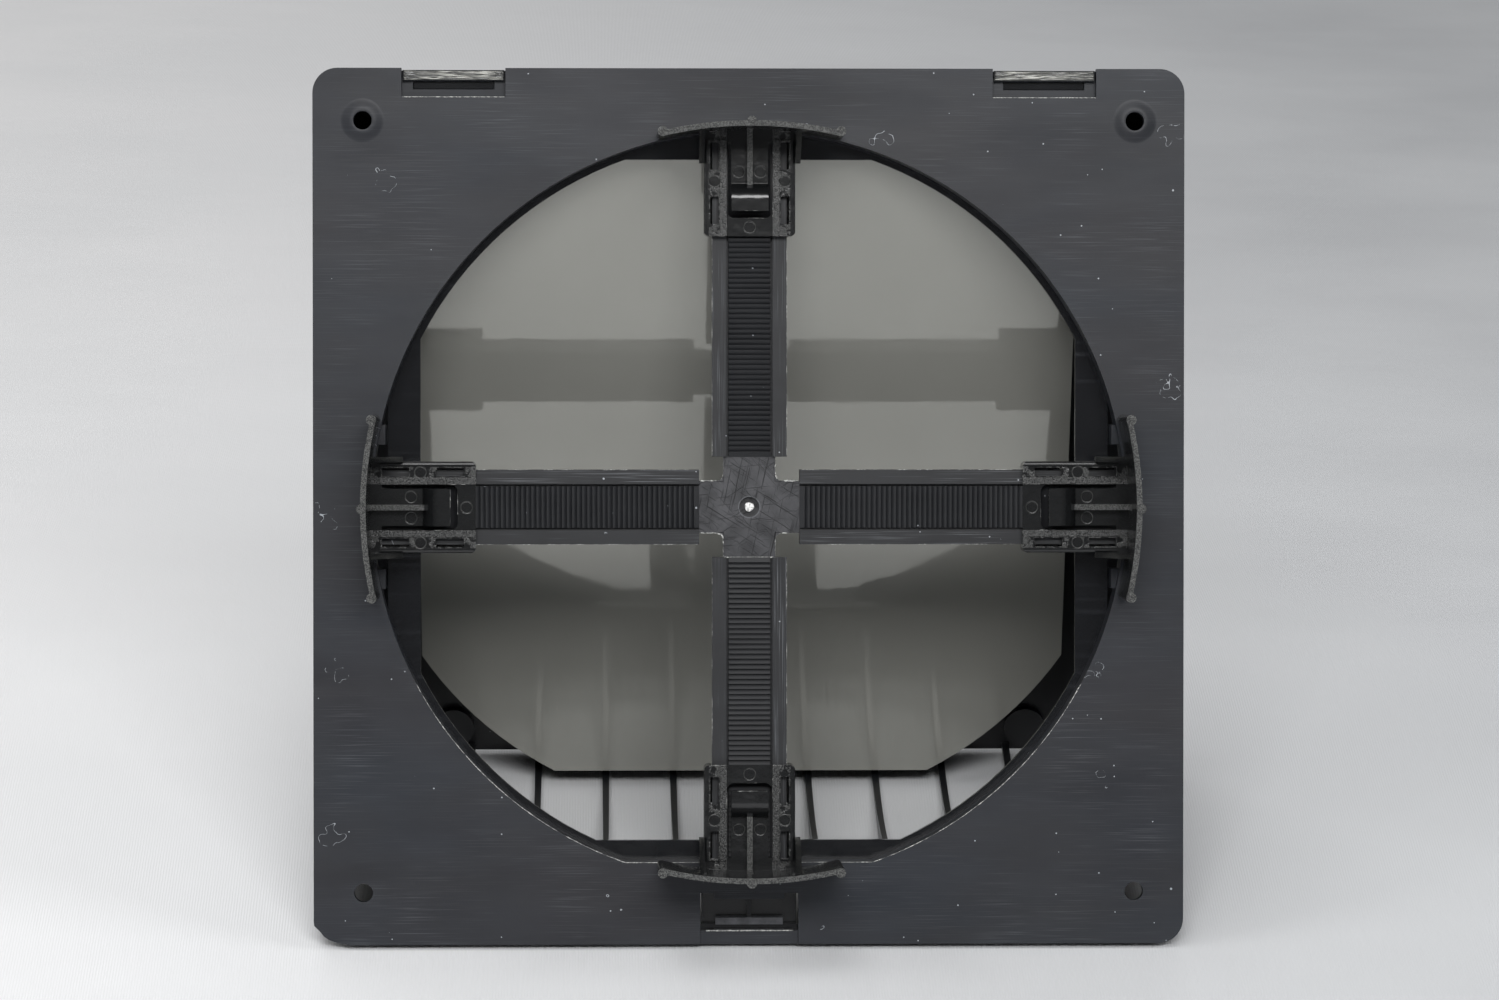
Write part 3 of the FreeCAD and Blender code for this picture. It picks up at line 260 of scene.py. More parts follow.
def rubbed_lines(tree, place, width, share):
    """Lines rubbed into a face along X, width by 90 widths, in patches 20 millimetres wide; share is how
    strong they are."""
    moved = node(tree, "Mapping", {0: place, 3: (1 / (width * 90), 1 / width, 1 / width)})
    noise = node(tree, "TexNoise", {"Vector": moved, "Scale": 1.0, "Detail": 2.0})
    lines = node(tree, "MapRange", {0: noise, 1: 0.56, 2: 0.76, 3: 0.0, 4: share})
    patches = clouds(tree, place, 20.0, 0.0, 1.0, seed=3.0)
    return node(tree, "Math", {0: lines, 1: patches}, operation="MULTIPLY")


def dust(tree, place, spacing, radius, kept):
    """Specks of dust of a radius, in the kept share of cells that are spacing millimetres wide."""
    moved = node(tree, "Mapping", {0: place, 3: (1 / spacing,) * 3})
    cells = node(tree, "TexVoronoi", {"Vector": moved, "Scale": 1.0})
    near = node(tree, "Math", {0: cells.outputs["Distance"], 1: radius / spacing}, operation="LESS_THAN")
    pick = node(tree, "SeparateColor", {0: cells.outputs["Color"]})
    chosen = node(tree, "Math", {0: pick, 1: kept}, operation="LESS_THAN")
    return node(tree, "Math", {0: near, 1: chosen}, operation="MULTIPLY")


def lint(tree, place, spacing, thin, kept):
    """Curled hairs of lint, twice thin millimetres thick: arcs where the distance to a cell's point is 0.16
    of the spacing, on a face bent by up to 7 millimetres, broken by small clouds."""
    waver = node(tree, "TexNoise", {"Vector": place, "Scale": 0.35, "Detail": 1.0})
    bent = node(tree, "VectorMath", {0: waver.outputs["Color"], 1: (7.0, 7.0, 7.0)}, operation="MULTIPLY")
    bent = node(tree, "VectorMath", {0: place, 1: bent}, operation="ADD")
    bent = node(tree, "Mapping", {0: bent, 3: (1 / spacing,) * 3})
    cells = node(tree, "TexVoronoi", {"Vector": bent, "Scale": 1.0})
    off = node(tree, "Math", {0: cells.outputs["Distance"], 1: 0.16}, operation="SUBTRACT")
    off = node(tree, "Math", {0: off}, operation="ABSOLUTE")
    arc = node(tree, "Math", {0: off, 1: thin / spacing}, operation="LESS_THAN")
    pick = node(tree, "SeparateColor", {0: cells.outputs["Color"]})
    chosen = node(tree, "Math", {0: pick, 1: kept}, operation="LESS_THAN")
    arc = node(tree, "Math", {0: arc, 1: chosen}, operation="MULTIPLY")
    breaks = clouds(tree, place, 1.6, 0.0, 1.0, seed=9.0, soft=0.04)
    return node(tree, "Math", {0: arc, 1: breaks}, operation="MULTIPLY")


def sink_ring(tree, place, middle, radius, half):
    """A low ring on a face across Y: 1 at radius from the middle, falling to 0 at half on either side."""
    flat = node(tree, "VectorMath", {0: place, 1: (1.0, 0.0, 1.0)}, operation="MULTIPLY")
    away = node(tree, "VectorMath", {0: flat, 1: middle}, operation="DISTANCE").outputs["Value"]
    off = node(tree, "Math", {0: away, 1: radius}, operation="SUBTRACT")
    off = node(tree, "Math", {0: off}, operation="ABSOLUTE")
    return node(tree, "MapRange", {0: off, 1: half, 2: 0.0, 3: 0.0, 4: 1.0}, interpolation_type="SMOOTHSTEP")


def between(tree, value, low, high):
    """1 where a value lies between low and high, else 0."""
    above = node(tree, "Math", {0: value, 1: low}, operation="GREATER_THAN")
    below = node(tree, "Math", {0: value, 1: high}, operation="LESS_THAN")
    return node(tree, "Math", {0: above, 1: below}, operation="MULTIPLY")


def scratches(tree, place, turn, width, long, share):
    """Short straight scratches, width by long millimetres, turned about Y; share is how dark they are."""
    turned = node(tree, "Mapping", {0: place, 2: (0.0, turn, 0.0), 1: (turn * 7, 0.0, turn * 5)})
    moved = node(tree, "Mapping", {0: turned, 3: (1 / long, 1 / width, 1 / width)})
    noise = node(tree, "TexNoise", {"Vector": moved, "Scale": 1.0, "Detail": 1.0})
    return node(tree, "MapRange", {0: noise, 1: 0.66, 2: 0.74, 3: 0.0, 4: share})


def clip_inner_end(side):
    """Distance from the centre to the inner end of a clip."""
    low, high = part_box("clip_" + side)
    return {"right": low.x, "left": -high.x, "bottom": -high.z, "top": low.z}[side]


def satin_plate(colours, sizes):
    """Moulded ABS with a satin face: it gives a soft sheen with cool clouds drawn out sideways by the flow,
    rubbed lines, dust and lint, low swellings round two screw holes, and a scratched, paler hub."""
    made, tree, place = new_material("abs_satin_anthracite")
    dust_colour, ink = tuple(colours.dust), linear("#0c0c0e")
    rim, hub_end, hole = sizes.duct_radius / MM, sizes.hub_end / MM, sizes.hole_middle / MM
    teeth, arm_edge = sizes.teeth_half / MM, 9.6  # that edge lies past the bevels of the arms
    middle, pit_shade_radius, rim_highlight_radius, swelling_radius = (0.0, 0.0, 0.0), 1.5, 2.15, 2.2

    # Where each part of the face lies
    x, y, z = node(tree, "SeparateXYZ", {0: place}).outputs
    wide = node(tree, "Math", {0: x}, operation="ABSOLUTE")
    tall = node(tree, "Math", {0: z}, operation="ABSOLUTE")
    aside = node(tree, "Math", {0: wide, 1: tall}, operation="MINIMUM")
    onward = node(tree, "Math", {0: wide, 1: tall}, operation="MAXIMUM")
    flat = node(tree, "CombineXYZ", {0: wide, 2: z})
    reach = node(tree, "VectorMath", {0: flat}, operation="LENGTH").outputs["Value"]
    inside = node(tree, "Math", {0: reach, 1: rim - 0.2}, operation="LESS_THAN")
    outside = node(tree, "Math", {0: reach, 1: rim + 0.1}, operation="GREATER_THAN")
    arms = node(tree, "Math", {0: aside, 1: arm_edge}, operation="LESS_THAN")
    arms = node(tree, "Math", {0: arms, 1: inside}, operation="MULTIPLY")
    hub = node(tree, "Math", {0: onward, 1: hub_end}, operation="LESS_THAN")
    past_hub = between(tree, onward, hub_end, rim)
    beside_teeth = between(tree, aside, teeth, arm_edge)
    rails = node(tree, "Math", {0: past_hub, 1: beside_teeth}, operation="MULTIPLY")

    # Wear, dust and scratches
    flow = node(tree, "Mapping", {0: place, 3: (0.35, 1.0, 1.0)})
    pale = clouds(tree, place, 3.5, 0.25, 0.75, seed=21.0)
    pale = node(tree, "Math", {0: hub, 1: pale}, operation="MULTIPLY")
    lines = rubbed_lines(tree, place, 0.16, 0.13)
    lines = node(tree, "Math", {0: lines, 1: outside}, operation="MULTIPLY")
    lying = node(tree, "Math", {0: wide, 1: tall}, operation="GREATER_THAN")
    swapped = node(tree, "CombineXYZ", {0: z, 1: y, 2: x})
    lengthwise = node(tree, "Mix", {0: lying, 4: swapped, 5: place}, data_type="VECTOR").outputs[1]
    worn = rubbed_lines(tree, lengthwise, 0.2, 0.42)
    worn = node(tree, "Math", {0: worn, 1: rails}, operation="MULTIPLY")
    haze = clouds(tree, flow, 6.0, 0.0, 0.014, seed=5.0, soft=0.2)
    specks = lint(tree, place, 14.0, 0.05, 0.35)
    for speck in (dust(tree, place, 6.0, 0.22, 0.40), dust(tree, place, 2.8, 0.15, 0.38)):
        specks = node(tree, "Math", {0: specks, 1: speck}, operation="MAXIMUM")
    specks = node(tree, "Math", {0: specks, 1: 0.85}, operation="MULTIPLY")
    scored = 0.0
    for turn, width, long in HUB_SCORES:
        score = scratches(tree, place, turn, width, long, 0.85)
        scored = node(tree, "Math", {0: scored, 1: score}, operation="MAXIMUM")
    scored = node(tree, "Math", {0: scored, 1: hub}, operation="MULTIPLY")

    # Painted shade of a pit round the gate stub, a painted highlight on its rim, and the swellings at the
    # upper screw holes
    pit_shade = sink_ring(tree, place, middle, pit_shade_radius, 0.7)
    pit_shade = node(tree, "Math", {0: pit_shade, 1: 0.6}, operation="MULTIPLY")
    ring = sink_ring(tree, place, middle, rim_highlight_radius, 0.15)
    ring = node(tree, "Math", {0: ring, 1: 0.18}, operation="MULTIPLY")
    swelling = sink_ring(tree, flat, (hole, 0.0, hole), swelling_radius, 2.3)

    layers = (
        (clouds(tree, flow, 16.0, 0.0, 0.8), tuple(colours.plate_cool)),
        (clouds(tree, flow, 24.0, 0.0, 0.6, seed=31.0), tuple(colours.plate_warm)),
        (arms, tuple(colours.cross)),
        (pale, linear("#4c4c4f")),
        (haze, dust_colour),
        (lines, dust_colour),
        (worn, dust_colour),
        (specks, dust_colour),
        (scored, ink),
        # Painted shade in the pit, then a painted highlight on its rim
        (pit_shade, ink),
        (ring, dust_colour),
    )
    rough = clouds(tree, flow, 20.0, 0.39, 0.54, seed=8.0)
    roughened = node(tree, "Math", {0: lines, 1: 0.3}, operation="MULTIPLY")
    rough = node(tree, "Math", {0: rough, 1: roughened}, operation="ADD")
    bumps = (
        (clouds(tree, flow, 12.0, 0.0, 1.0, seed=6.0, soft=0.4), 0.07),
        (swelling, 0.55),
        (clouds(tree, place, 0.35, 0.0, 1.0, seed=2.0, soft=0.3), 0.005),
        (lines, 0.04),
        (worn, -0.05),
        (scored, -0.08),
    )
    finish(tree, tuple(colours.plate), layers, rough, bumps, IOR=1.43)
    return made


def polished_frame(colours):
    """Moulded ABS from a polished mould: it gives clear, slightly rippled reflections."""
    made, tree, place = new_material("abs_polished_anthracite")
    streak = rubbed_lines(tree, place, 1.4, 1.0)
    layers = ((streak, linear("#222429")),)
    rough = node(tree, "MapRange", {0: streak, 1: 0.0, 2: 1.0, 3: 0.14, 4: 0.3})
    bumps = ((clouds(tree, place, 4.0, 0.0, 1.0), 0.02),)
    finish(tree, tuple(colours.valve_frame), layers, rough, bumps, IOR=1.54)
    return made


def silver_flap(colours):
    """Moulded plastic with a silver pigment, high gloss: it gives a crisp, weak mirror image over its own
    grey."""
    made, tree, place = new_material("silver_pigment_gloss")
    layers = (
        (clouds(tree, place, 30.0, 0.0, 0.5), linear("#92928c")),
        (dust(tree, place, 9.0, 0.12, 0.25), tuple(colours.dust)),
    )
    rough = clouds(tree, place, 12.0, 0.03, 0.07)
    bumps = ((clouds(tree, place, 22.0, 0.0, 1.0), 0.02),)
    finish(tree, tuple(colours.flap), layers, rough, bumps, Metallic=0.3)
    return made


def hood_plastic(colours, sizes):
    """Moulded ABS, semi-matt on the shell and glossy on the hooks and latch behind it: it gives a dark, soft
    sheen and clear glancing highlights, and has a painted highlight, paler in patches, on the nose of the
    latch."""
    made, tree, place = new_material("abs_semi_matt_anthracite")
    half = sizes.nose_half / MM
    hooks_end, shell_start = 3.0, 6.0  # the hooks and the latch lie behind, the shell ahead
    x, y, z = node(tree, "SeparateXYZ", {0: place}).outputs
    specks = node(tree, "Math", {0: dust(tree, place, 6.0, 0.1, 0.2), 1: 0.4}, operation="MULTIPLY")
    across = between(tree, x, -half, half)
    up = between(tree, z, -sizes.nose_low / MM, -sizes.nose_high / MM)
    # Painted highlight: the front of the latch nose is painted paler, in patches, for the light it catches
    nose = node(tree, "Math", {0: across, 1: up}, operation="MULTIPLY")
    rubbed = clouds(tree, place, 2.0, 0.5, 0.9, seed=5.0)
    nose = node(tree, "Math", {0: nose, 1: rubbed}, operation="MULTIPLY")
    layers = (
        (clouds(tree, place, 25.0, 0.0, 1.0), linear("#1d1e21")),
        (specks, tuple(colours.dust)),
        (nose, linear("#5d5e62")),
    )
    shell = node(tree, "MapRange", {0: y, 1: hooks_end, 2: shell_start, 3: 0.0, 4: 0.22})
    glossy = clouds(tree, place, 25.0, 0.09, 0.14, seed=4.0)
    rough = node(tree, "Math", {0: glossy, 1: shell}, operation="ADD")
    bumps = ((clouds(tree, place, 0.4, 0.0, 1.0, seed=1.0, soft=0.3), 0.006),)
    finish(tree, tuple(colours.hood), layers, rough, bumps, IOR=1.54)
    return made


def sparked_clip(colours, sizes, side):
    """Moulded ABS from a spark-eroded mould: a rough texture on the pad's back edge, beside the window, on
    the rails and on the rib, with painted glints as pale flecks on it, and a smooth gloss elsewhere, with
    ejector marks ringed in a painted highlight and painted shade round the ends of the ribs."""
    made, tree, place = new_material("abs_spark_eroded_" + side, TURNS[side])
    window, rail_start, rail_end = sizes.window_half / MM, 6.0, 8.2
    rib_half, rib_start, pad_back = 0.62, 10.2, -18.8
    mark_radius, shaded_end_radius, mark_edge = 1.15, 0.93, 0.16  # all in millimetres
    x, y, z = node(tree, "SeparateXYZ", {0: place}).outputs
    along = node(tree, "Math", {0: x, 1: clip_inner_end(side) / MM}, operation="SUBTRACT")
    aside = node(tree, "Math", {0: z}, operation="ABSOLUTE")
    flat = node(tree, "CombineXYZ", {0: along, 2: aside})

    # Ejector marks on the body, and painted shade in dark rings round the smooth ends of the ribs on the pad
    body = between(tree, y, -3.4, 4.0)
    pad = node(tree, "Math", {0: y, 1: pad_back}, operation="LESS_THAN")
    rings = 0.0
    for u, w in EJECTOR_MARKS:
        ring = sink_ring(tree, flat, (u, 0.0, w), mark_radius, mark_edge)
        rings = node(tree, "Math", {0: rings, 1: ring}, operation="MAXIMUM")
    rings = node(tree, "Math", {0: rings, 1: body}, operation="MULTIPLY")
    ends = 0.0
    for u, w in RIB_ENDS:
        end = sink_ring(tree, place, (u, 0.0, w), shaded_end_radius, mark_edge)
        ends = node(tree, "Math", {0: ends, 1: end}, operation="MAXIMUM")
    ends = node(tree, "Math", {0: ends, 1: pad}, operation="MULTIPLY")

    # Grain, carrying painted glints: weak beside the window, patchy on the rails, full on the rib and the
    # pad, none in the rail's mark
    strip = between(tree, aside, window, rail_start)
    strip = node(tree, "Math", {0: strip, 1: body}, operation="MULTIPLY")
    strip = node(tree, "Math", {0: strip, 1: 0.32}, operation="MULTIPLY")
    rail = between(tree, aside, rail_start, rail_end)
    rail = node(tree, "Math", {0: rail, 1: body}, operation="MULTIPLY")
    patches = clouds(tree, place, 1.6, 0.0, 0.7, seed=3.0, soft=0.04)
    rail = node(tree, "Math", {0: rail, 1: patches}, operation="MULTIPLY")
    rib = node(tree, "Math", {0: aside, 1: rib_half}, operation="LESS_THAN")
    onward = node(tree, "Math", {0: along, 1: rib_start}, operation="GREATER_THAN")
    for span in (between(tree, y, -9.0, -3.0), onward):
        rib = node(tree, "Math", {0: rib, 1: span}, operation="MULTIPLY")
    grained = pad
    for part in (strip, rail, rib):
        grained = node(tree, "Math", {0: grained, 1: part}, operation="MAXIMUM")
    u, w = EJECTOR_MARKS[0]
    away = node(tree, "VectorMath", {0: flat, 1: (u, 0.0, w)}, operation="DISTANCE").outputs["Value"]
    off_mark = node(tree, "Math", {0: away, 1: mark_radius + 0.05}, operation="GREATER_THAN")
    grained = node(tree, "Math", {0: grained, 1: off_mark}, operation="MULTIPLY")
    flecks = clouds(tree, place, 0.22, 0.0, 0.8, seed=7.0, soft=0.10)
    grain_and_glints = node(tree, "Math", {0: flecks, 1: grained}, operation="MULTIPLY")

    layers = (
        # Painted glints on the grain, and a painted highlight on the ejector marks' rings, both in the glint
        # colour
        (grain_and_glints, tuple(colours.grain_glint)),
        (node(tree, "Math", {0: rings, 1: 0.35}, operation="MULTIPLY"), tuple(colours.grain_glint)),
        # Painted shade: dark rings where the rib ends meet the pad
        (ends, linear("#131314")),
    )
    rough = node(tree, "MapRange", {0: grained, 1: 0.0, 2: 1.0, 3: 0.19, 4: 0.34})
    swell = clouds(tree, place, 3.0, 0.0, 1.0, seed=1.0, soft=0.3)
    bumps = ((swell, 0.05), (grain_and_glints, 0.10), (rings, -0.06))
    finish(tree, tuple(colours.clip), layers, rough, bumps, IOR=1.54)
    return made


def whitened_plastic_painted_highlight(colours):
    """Torn or stretched ABS: it turns chalky white and gives small, sharp glints. On most beads that white is
    also a painted highlight, along edges that catch the light.
    """
    made, tree, place = new_material("abs_stress_whitened")
    layers = ((clouds(tree, place, 0.5, 0.0, 0.75, seed=2.0, soft=0.08), linear("#4b4c4e")),)
    bumps = ((clouds(tree, place, 0.2, 0.0, 1.0), 0.05),)
    finish(tree, tuple(colours.whitened), layers, 0.25, bumps, IOR=1.54)
    return made


def gate_plastic():
    """Freshly torn ABS: it gives a bright, waxy white core."""
    made, tree, place = new_material("abs_torn_gate")
    layers = ((clouds(tree, place, 0.45, 0.0, 0.8, seed=4.0, soft=0.05), linear("#8d8e8e")),)
    finish(tree, linear("#eeeeec"), layers, 0.3, (), IOR=1.54)
    return made


def streaked_lip():
    """Edge dragged by the ejecting mould: glossy ridges between dull grooves, with bright streaks painted on
    as painted highlights in pale and mid grey.
    """
    made, tree, place = new_material("abs_dragged_gloss")
    drawn = node(tree, "Mapping", {0: place, 3: (0.06, 1.0, 1.0)})
    fine = clouds(tree, drawn, 0.22, 0.0, 1.0, seed=4.0, soft=0.07)
    broad = clouds(tree, drawn, 0.55, 0.0, 0.8, seed=9.0, soft=0.06)
    # Painted highlight: pale fine streaks and mid-grey broad streaks for the light the glossy ridges catch
    layers = ((fine, linear("#b4b4ad")), (broad, linear("#3f403f")))
    finish(tree, linear("#1c1d1f"), layers, 0.2, ((fine, 0.08),), IOR=1.54)
    return made


def sheet_floor(colours):
    """Plain pale coated cloth: matt, with painted shade that darkens it from 300 millimetres left of the
    middle to 300 right of it, with a weave drawn coarse enough to show and very faint mottling."""
    made, tree, place = new_material("sheet_matt_pale")
    x = node(tree, "SeparateXYZ", {0: place}).outputs[0]
    # Painted shade: from left to right the sheet blends into the darker colour.
    right = node(tree, "MapRange", {0: x, 1: -300.0, 2: 300.0}, interpolation_type="SMOOTHSTEP")
    layers = (
        (right, tuple(colours.floor_right_shaded)),
        (clouds(tree, place, 120.0, 0.0, 0.3), linear("#d9dbdd")),
    )
    weave = node(tree, "TexWave", {"Vector": place, "Scale": 0.55, "Distortion": 1.0}, bands_direction="X")
    bumps = ((weave, 0.03), (clouds(tree, place, 60.0, 0.0, 1.0, seed=5.0), 0.3))
    finish(tree, tuple(colours.floor), layers, 0.75, bumps)
    return made


def eased_copy(source, name, width, material):
    """A merged copy of a CAD node, its sharp edges rounded by width, standing for that node."""
    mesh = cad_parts[source].data.copy()
    made = bpy.data.objects.new(name, mesh)
    bpy.context.scene.collection.objects.link(made)
    work = bmesh.new()
    work.from_mesh(mesh)
    bmesh.ops.remove_doubles(work, verts=work.verts, dist=0.002 * MM)
    bmesh.ops.dissolve_limit(work, angle_limit=math.radians(0.6), verts=work.verts, edges=work.edges)
    work.to_mesh(mesh)
    work.free()
    mesh.polygons.foreach_set("use_smooth", np.ones(len(mesh.polygons), bool))
    bevel = made.modifiers.new("Eased", "BEVEL")
    bevel.width = width
    bevel.segments = 2
    bevel.limit_method = "ANGLE"
    bevel.angle_limit = math.radians(35)
    bevel.use_clamp_overlap = True
    weigh = made.modifiers.new("Flat faces stay flat", "WEIGHTED_NORMAL")
    weigh.mode = "FACE_AREA"
    weigh.weight = 100
    graph = bpy.context.evaluated_depsgraph_get()
    finished = bpy.data.meshes.new_from_object(
        made.evaluated_get(graph), preserve_all_data_layers=True, depsgraph=graph
    )
    made.modifiers.clear()
    made.data = finished
    bpy.data.meshes.remove(mesh)
    finished.materials.clear()
    finished.materials.append(material)
    return made


def mesh_object(name, points, faces, material, smooth=True):
    """An object from arrays of points and faces."""
    mesh = bpy.data.meshes.new(name)
    mesh.from_pydata(points.reshape(-1, 3).tolist(), [], [tuple(face) for face in faces.tolist()])
    mesh.polygons.foreach_set("use_smooth", np.full(len(mesh.polygons), smooth))
    mesh.materials.append(material)
    made = bpy.data.objects.new(name, mesh)
    bpy.context.scene.collection.objects.link(made)
    return made


def grid_faces(rows, columns, closed=False):
    """Quads between the rows and columns of a grid of points; closed joins the last column to the first."""
    index = np.arange(rows * columns).reshape(rows, columns)
    if closed:
        index = np.concatenate([index, index[:, :1]], 1)
    return np.stack([index[:-1, :-1], index[:-1, 1:], index[1:, 1:], index[1:, :-1]], -1).reshape(-1, 4)


def burr(path, radius, seed, ragged=1.0, sides=5):
    """A ragged bead along a path of points: at each point p, with unit tangent t and two normals a and b,
    the ring is p + r (a cos v + b sin v), where r falls and rises at random between 0.05 and 1 of radius,
    and the more ragged, the more often it falls."""
    rng = np.random.default_rng(seed)
    path = np.asarray(path, float)
    steps = np.linalg.norm(np.diff(path, axis=0), axis=1)
    total = steps.sum()
    count = max(6, int(total / BEAD_STEP))
    at = np.linspace(0, total, count)
    marks = np.concatenate([[0], np.cumsum(steps)])
    p = np.stack([np.interp(at, marks, path[:, k]) for k in range(3)], -1)
    t = np.gradient(p, axis=0)
    t /= np.linalg.norm(t, axis=1)[:, None]
    a = np.cross(t, [0.0, 1.0, 0.0])
    a /= np.linalg.norm(a, axis=1)[:, None]
    b = np.cross(t, a)
    rough = np.convolve(rng.random(count + 4), np.ones(3) / 3, "same")[2:-2]
    places = max(3, int(total / BREAK_STEP))
    breaks = np.interp(at, np.linspace(0, total, places), rng.random(places))
    r = radius * np.clip(1.0 + ragged * (1.6 * rough + 1.2 * breaks - 2.0), 0.05, 1.0)
    r[[0, -1]] = 0.02 * radius
    p = p + a * (radius * 0.6 * ragged * (rng.random(count) - 0.5))[:, None]
    v = np.linspace(0, 2 * math.pi, sides, endpoint=False)
    ring = a[:, None] * np.cos(v)[None, :, None] + b[:, None] * np.sin(v)[None, :, None]
    return p[:, None] + r[:, None, None] * ring


def burr_object(name, paths, radius, material, seed, ragged=1.0):
    """One mesh of burrs along several paths."""
    points, faces, start = [], [], 0
    for number, path in enumerate(paths):
        rings = burr(path, radius, seed + number, ragged)
        points.append(rings.reshape(-1, 3))
        faces.append(grid_faces(*rings.shape[:2], closed=True) + start)
        start += rings.shape[0] * rings.shape[1]
    return mesh_object(name, np.concatenate(points), np.concatenate(faces), material)


def spin(turn):
    """The matrix that turns rows of points about Y, from the right arm to the arm at that turn."""
    c, s = math.cos(turn), math.sin(turn)
    return np.array([[c, 0, -s], [0, 1, 0], [s, 0, c]])


def belongs(made, body):
    """Gives a piece its body."""
    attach(made, body)
    return made


class GRILLE_OT_plate(bpy.types.Operator):
    """Base plate with its toothed cross, edges eased"""

    bl_idname = "grille.plate"
    bl_label = "Base plate"

    def execute(self, context):
        colours, sizes = context.scene.grille_colours, context.scene.grille_sizes
        made = eased_copy("base_plate", "base_plate_moulding", sizes.plate_edge, satin_plate(colours, sizes))
        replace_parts(belongs(made, "base"), "base_plate")
        return {"FINISHED"}


class GRILLE_OT_valve(bpy.types.Operator):
    """Polished valve frame and its hanging flap"""

    bl_idname = "grille.valve"
    bl_label = "Valve"

    def execute(self, context):
        colours, sizes = context.scene.grille_colours, context.scene.grille_sizes
        for source, body, look, slot in (
            ("valve_frame", "base", polished_frame, "frame"),
            ("flap", "flap", silver_flap, "flap"),
        ):
            made = eased_copy(source, source + "_moulding", sizes.plate_edge, look(colours))
            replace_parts(belongs(made, body), source)
        return {"FINISHED"}


class GRILLE_OT_hood(bpy.types.Operator):
    """Sloping hood with its outlet fins"""

    bl_idname = "grille.hood"
    bl_label = "Hood"

    def execute(self, context):
        colours, sizes = context.scene.grille_colours, context.scene.grille_sizes
        made = eased_copy("hood", "hood_moulding", sizes.hood_edge, hood_plastic(colours, sizes))
        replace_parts(belongs(made, "base"), "hood")
        return {"FINISHED"}


class GRILLE_OT_clips(bpy.types.Operator):
    """Four ratchet clips, edges eased"""

    bl_idname = "grille.clips"
    bl_label = "Clips"

    def execute(self, context):
        colours, sizes = context.scene.grille_colours, context.scene.grille_sizes
        for side in TURNS:
            source = "clip_" + side
            look = sparked_clip(colours, sizes, side)
            made = eased_copy(source, source + "_moulding", sizes.clip_edge, look)
            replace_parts(belongs(made, source), source)
        return {"FINISHED"}


class GRILLE_OT_gate(bpy.types.Operator):
    """Torn gate stub in the hub: rings of radius R k / n, each point pushed back by a bulge
    b (1 - (k / n) ^ 2) and by random tears, over a short wall"""

    bl_idname = "grille.gate"
    bl_label = "Torn gate"

    def execute(self, context):
        sizes = context.scene.grille_sizes
        rings, around = 7, 28
        rng = np.random.default_rng(4)
        share = np.linspace(0.08, 1.0, rings)[:, None]
        turn = np.linspace(0, 2 * math.pi, around, endpoint=False)[None]
        tears = rng.random((rings, around)) * sizes.gate_tear * (share > 0.3)
        radius = share * sizes.gate_radius * (1 + 0.06 * np.sin(3 * turn + 1.0) * share)
        depth = sizes.gate_back - sizes.gate_bulge * (1 - share**2) - tears
        top = np.stack([radius * np.cos(turn), depth + 0 * turn, radius * np.sin(turn)], -1)
        wall = top[-1:].copy()
        wall[..., 1] = sizes.gate_back + sizes.gate_wall
        points = np.concatenate([top, wall])
        faces = grid_faces(rings + 1, around, closed=True)
        made = mesh_object("torn_gate", points, faces, gate_plastic())
        belongs(made, "base")
        return {"FINISHED"}


class GRILLE_OT_hub_corners(bpy.types.Operator):
    """Rounded corners between the necks of the hub: a strip from the corner's two straight sides to the
    arc c + R (cos v, sin v), whose radius wavers where the corner was trimmed by hand"""

    bl_idname = "grille.hub_corners"
    bl_label = "Hub corners"

    def execute(self, context):
        sizes = context.scene.grille_sizes
        satin = bpy.data.materials["abs_satin_anthracite"]
        whitened = bpy.data.materials["abs_stress_whitened"]
        steps, overlap = 13, 0.15 * MM
        rng = np.random.default_rng(11)
        points, faces, trims = [], [], []
        v = np.linspace(math.pi, 1.5 * math.pi, steps)
        side = np.clip(np.linspace(1, -1, steps), 0, 1), np.clip(np.linspace(-1, 1, steps), 0, 1)
        for number, (sx, sz) in enumerate(QUARTERS):
            radius = sizes.hub_corner * (1 + 0.10 * (rng.random(steps) - 0.5))
            middle = sizes.hub_neck + sizes.hub_corner
            arc = np.stack([middle + radius * np.cos(v), middle + radius * np.sin(v)], -1)
            corner = sizes.hub_neck - overlap + sizes.hub_corner * np.stack([side[1], side[0]], -1)
            rear, front = sizes.hub_face, sizes.hub_face + sizes.hub_depth
            rows = [(corner, rear), (arc, rear), (arc, front), (corner, front)]
            grid = np.stack([np.stack([sx * p[:, 0], np.full(steps, y), sz * p[:, 1]], -1) for p, y in rows])
            quads = grid_faces(4, steps) + number * 4 * steps
            points.append(grid.reshape(-1, 3))
            faces.append(quads if sx * sz > 0 else quads[:, ::-1])
            trims.append(grid[1])
        points, faces = np.concatenate(points), np.concatenate(faces)
        made = mesh_object("hub_corners", points, faces, satin, smooth=False)
        belongs(made, "base")
        neck, far = sizes.hub_neck, sizes.hub_neck + sizes.hub_corner
        end, face = sizes.hub_end, sizes.hub_face
        for sx, sz in QUARTERS:
            trims.append([(sx * far, face, sz * neck), (sx * end, face, sz * neck)])
            trims.append([(sx * neck, face, sz * far), (sx * neck, face, sz * end)])
        trimmed = burr_object("hub_trimmings", trims, sizes.corner_bead, whitened, 30, 1.35)
        belongs(trimmed, "base")
        # Painted highlight: a pale bead along the lower end of the hub, for the light its upward edge
        # catches.
        z = -end - 0.05 * MM
        lip = [[(-neck, face, z), (neck, face, z)]]
        lip = burr_object("hub_lip", lip, sizes.hub_bead, whitened, 50, 0.15)
        belongs(lip, "base")
        return {"FINISHED"}


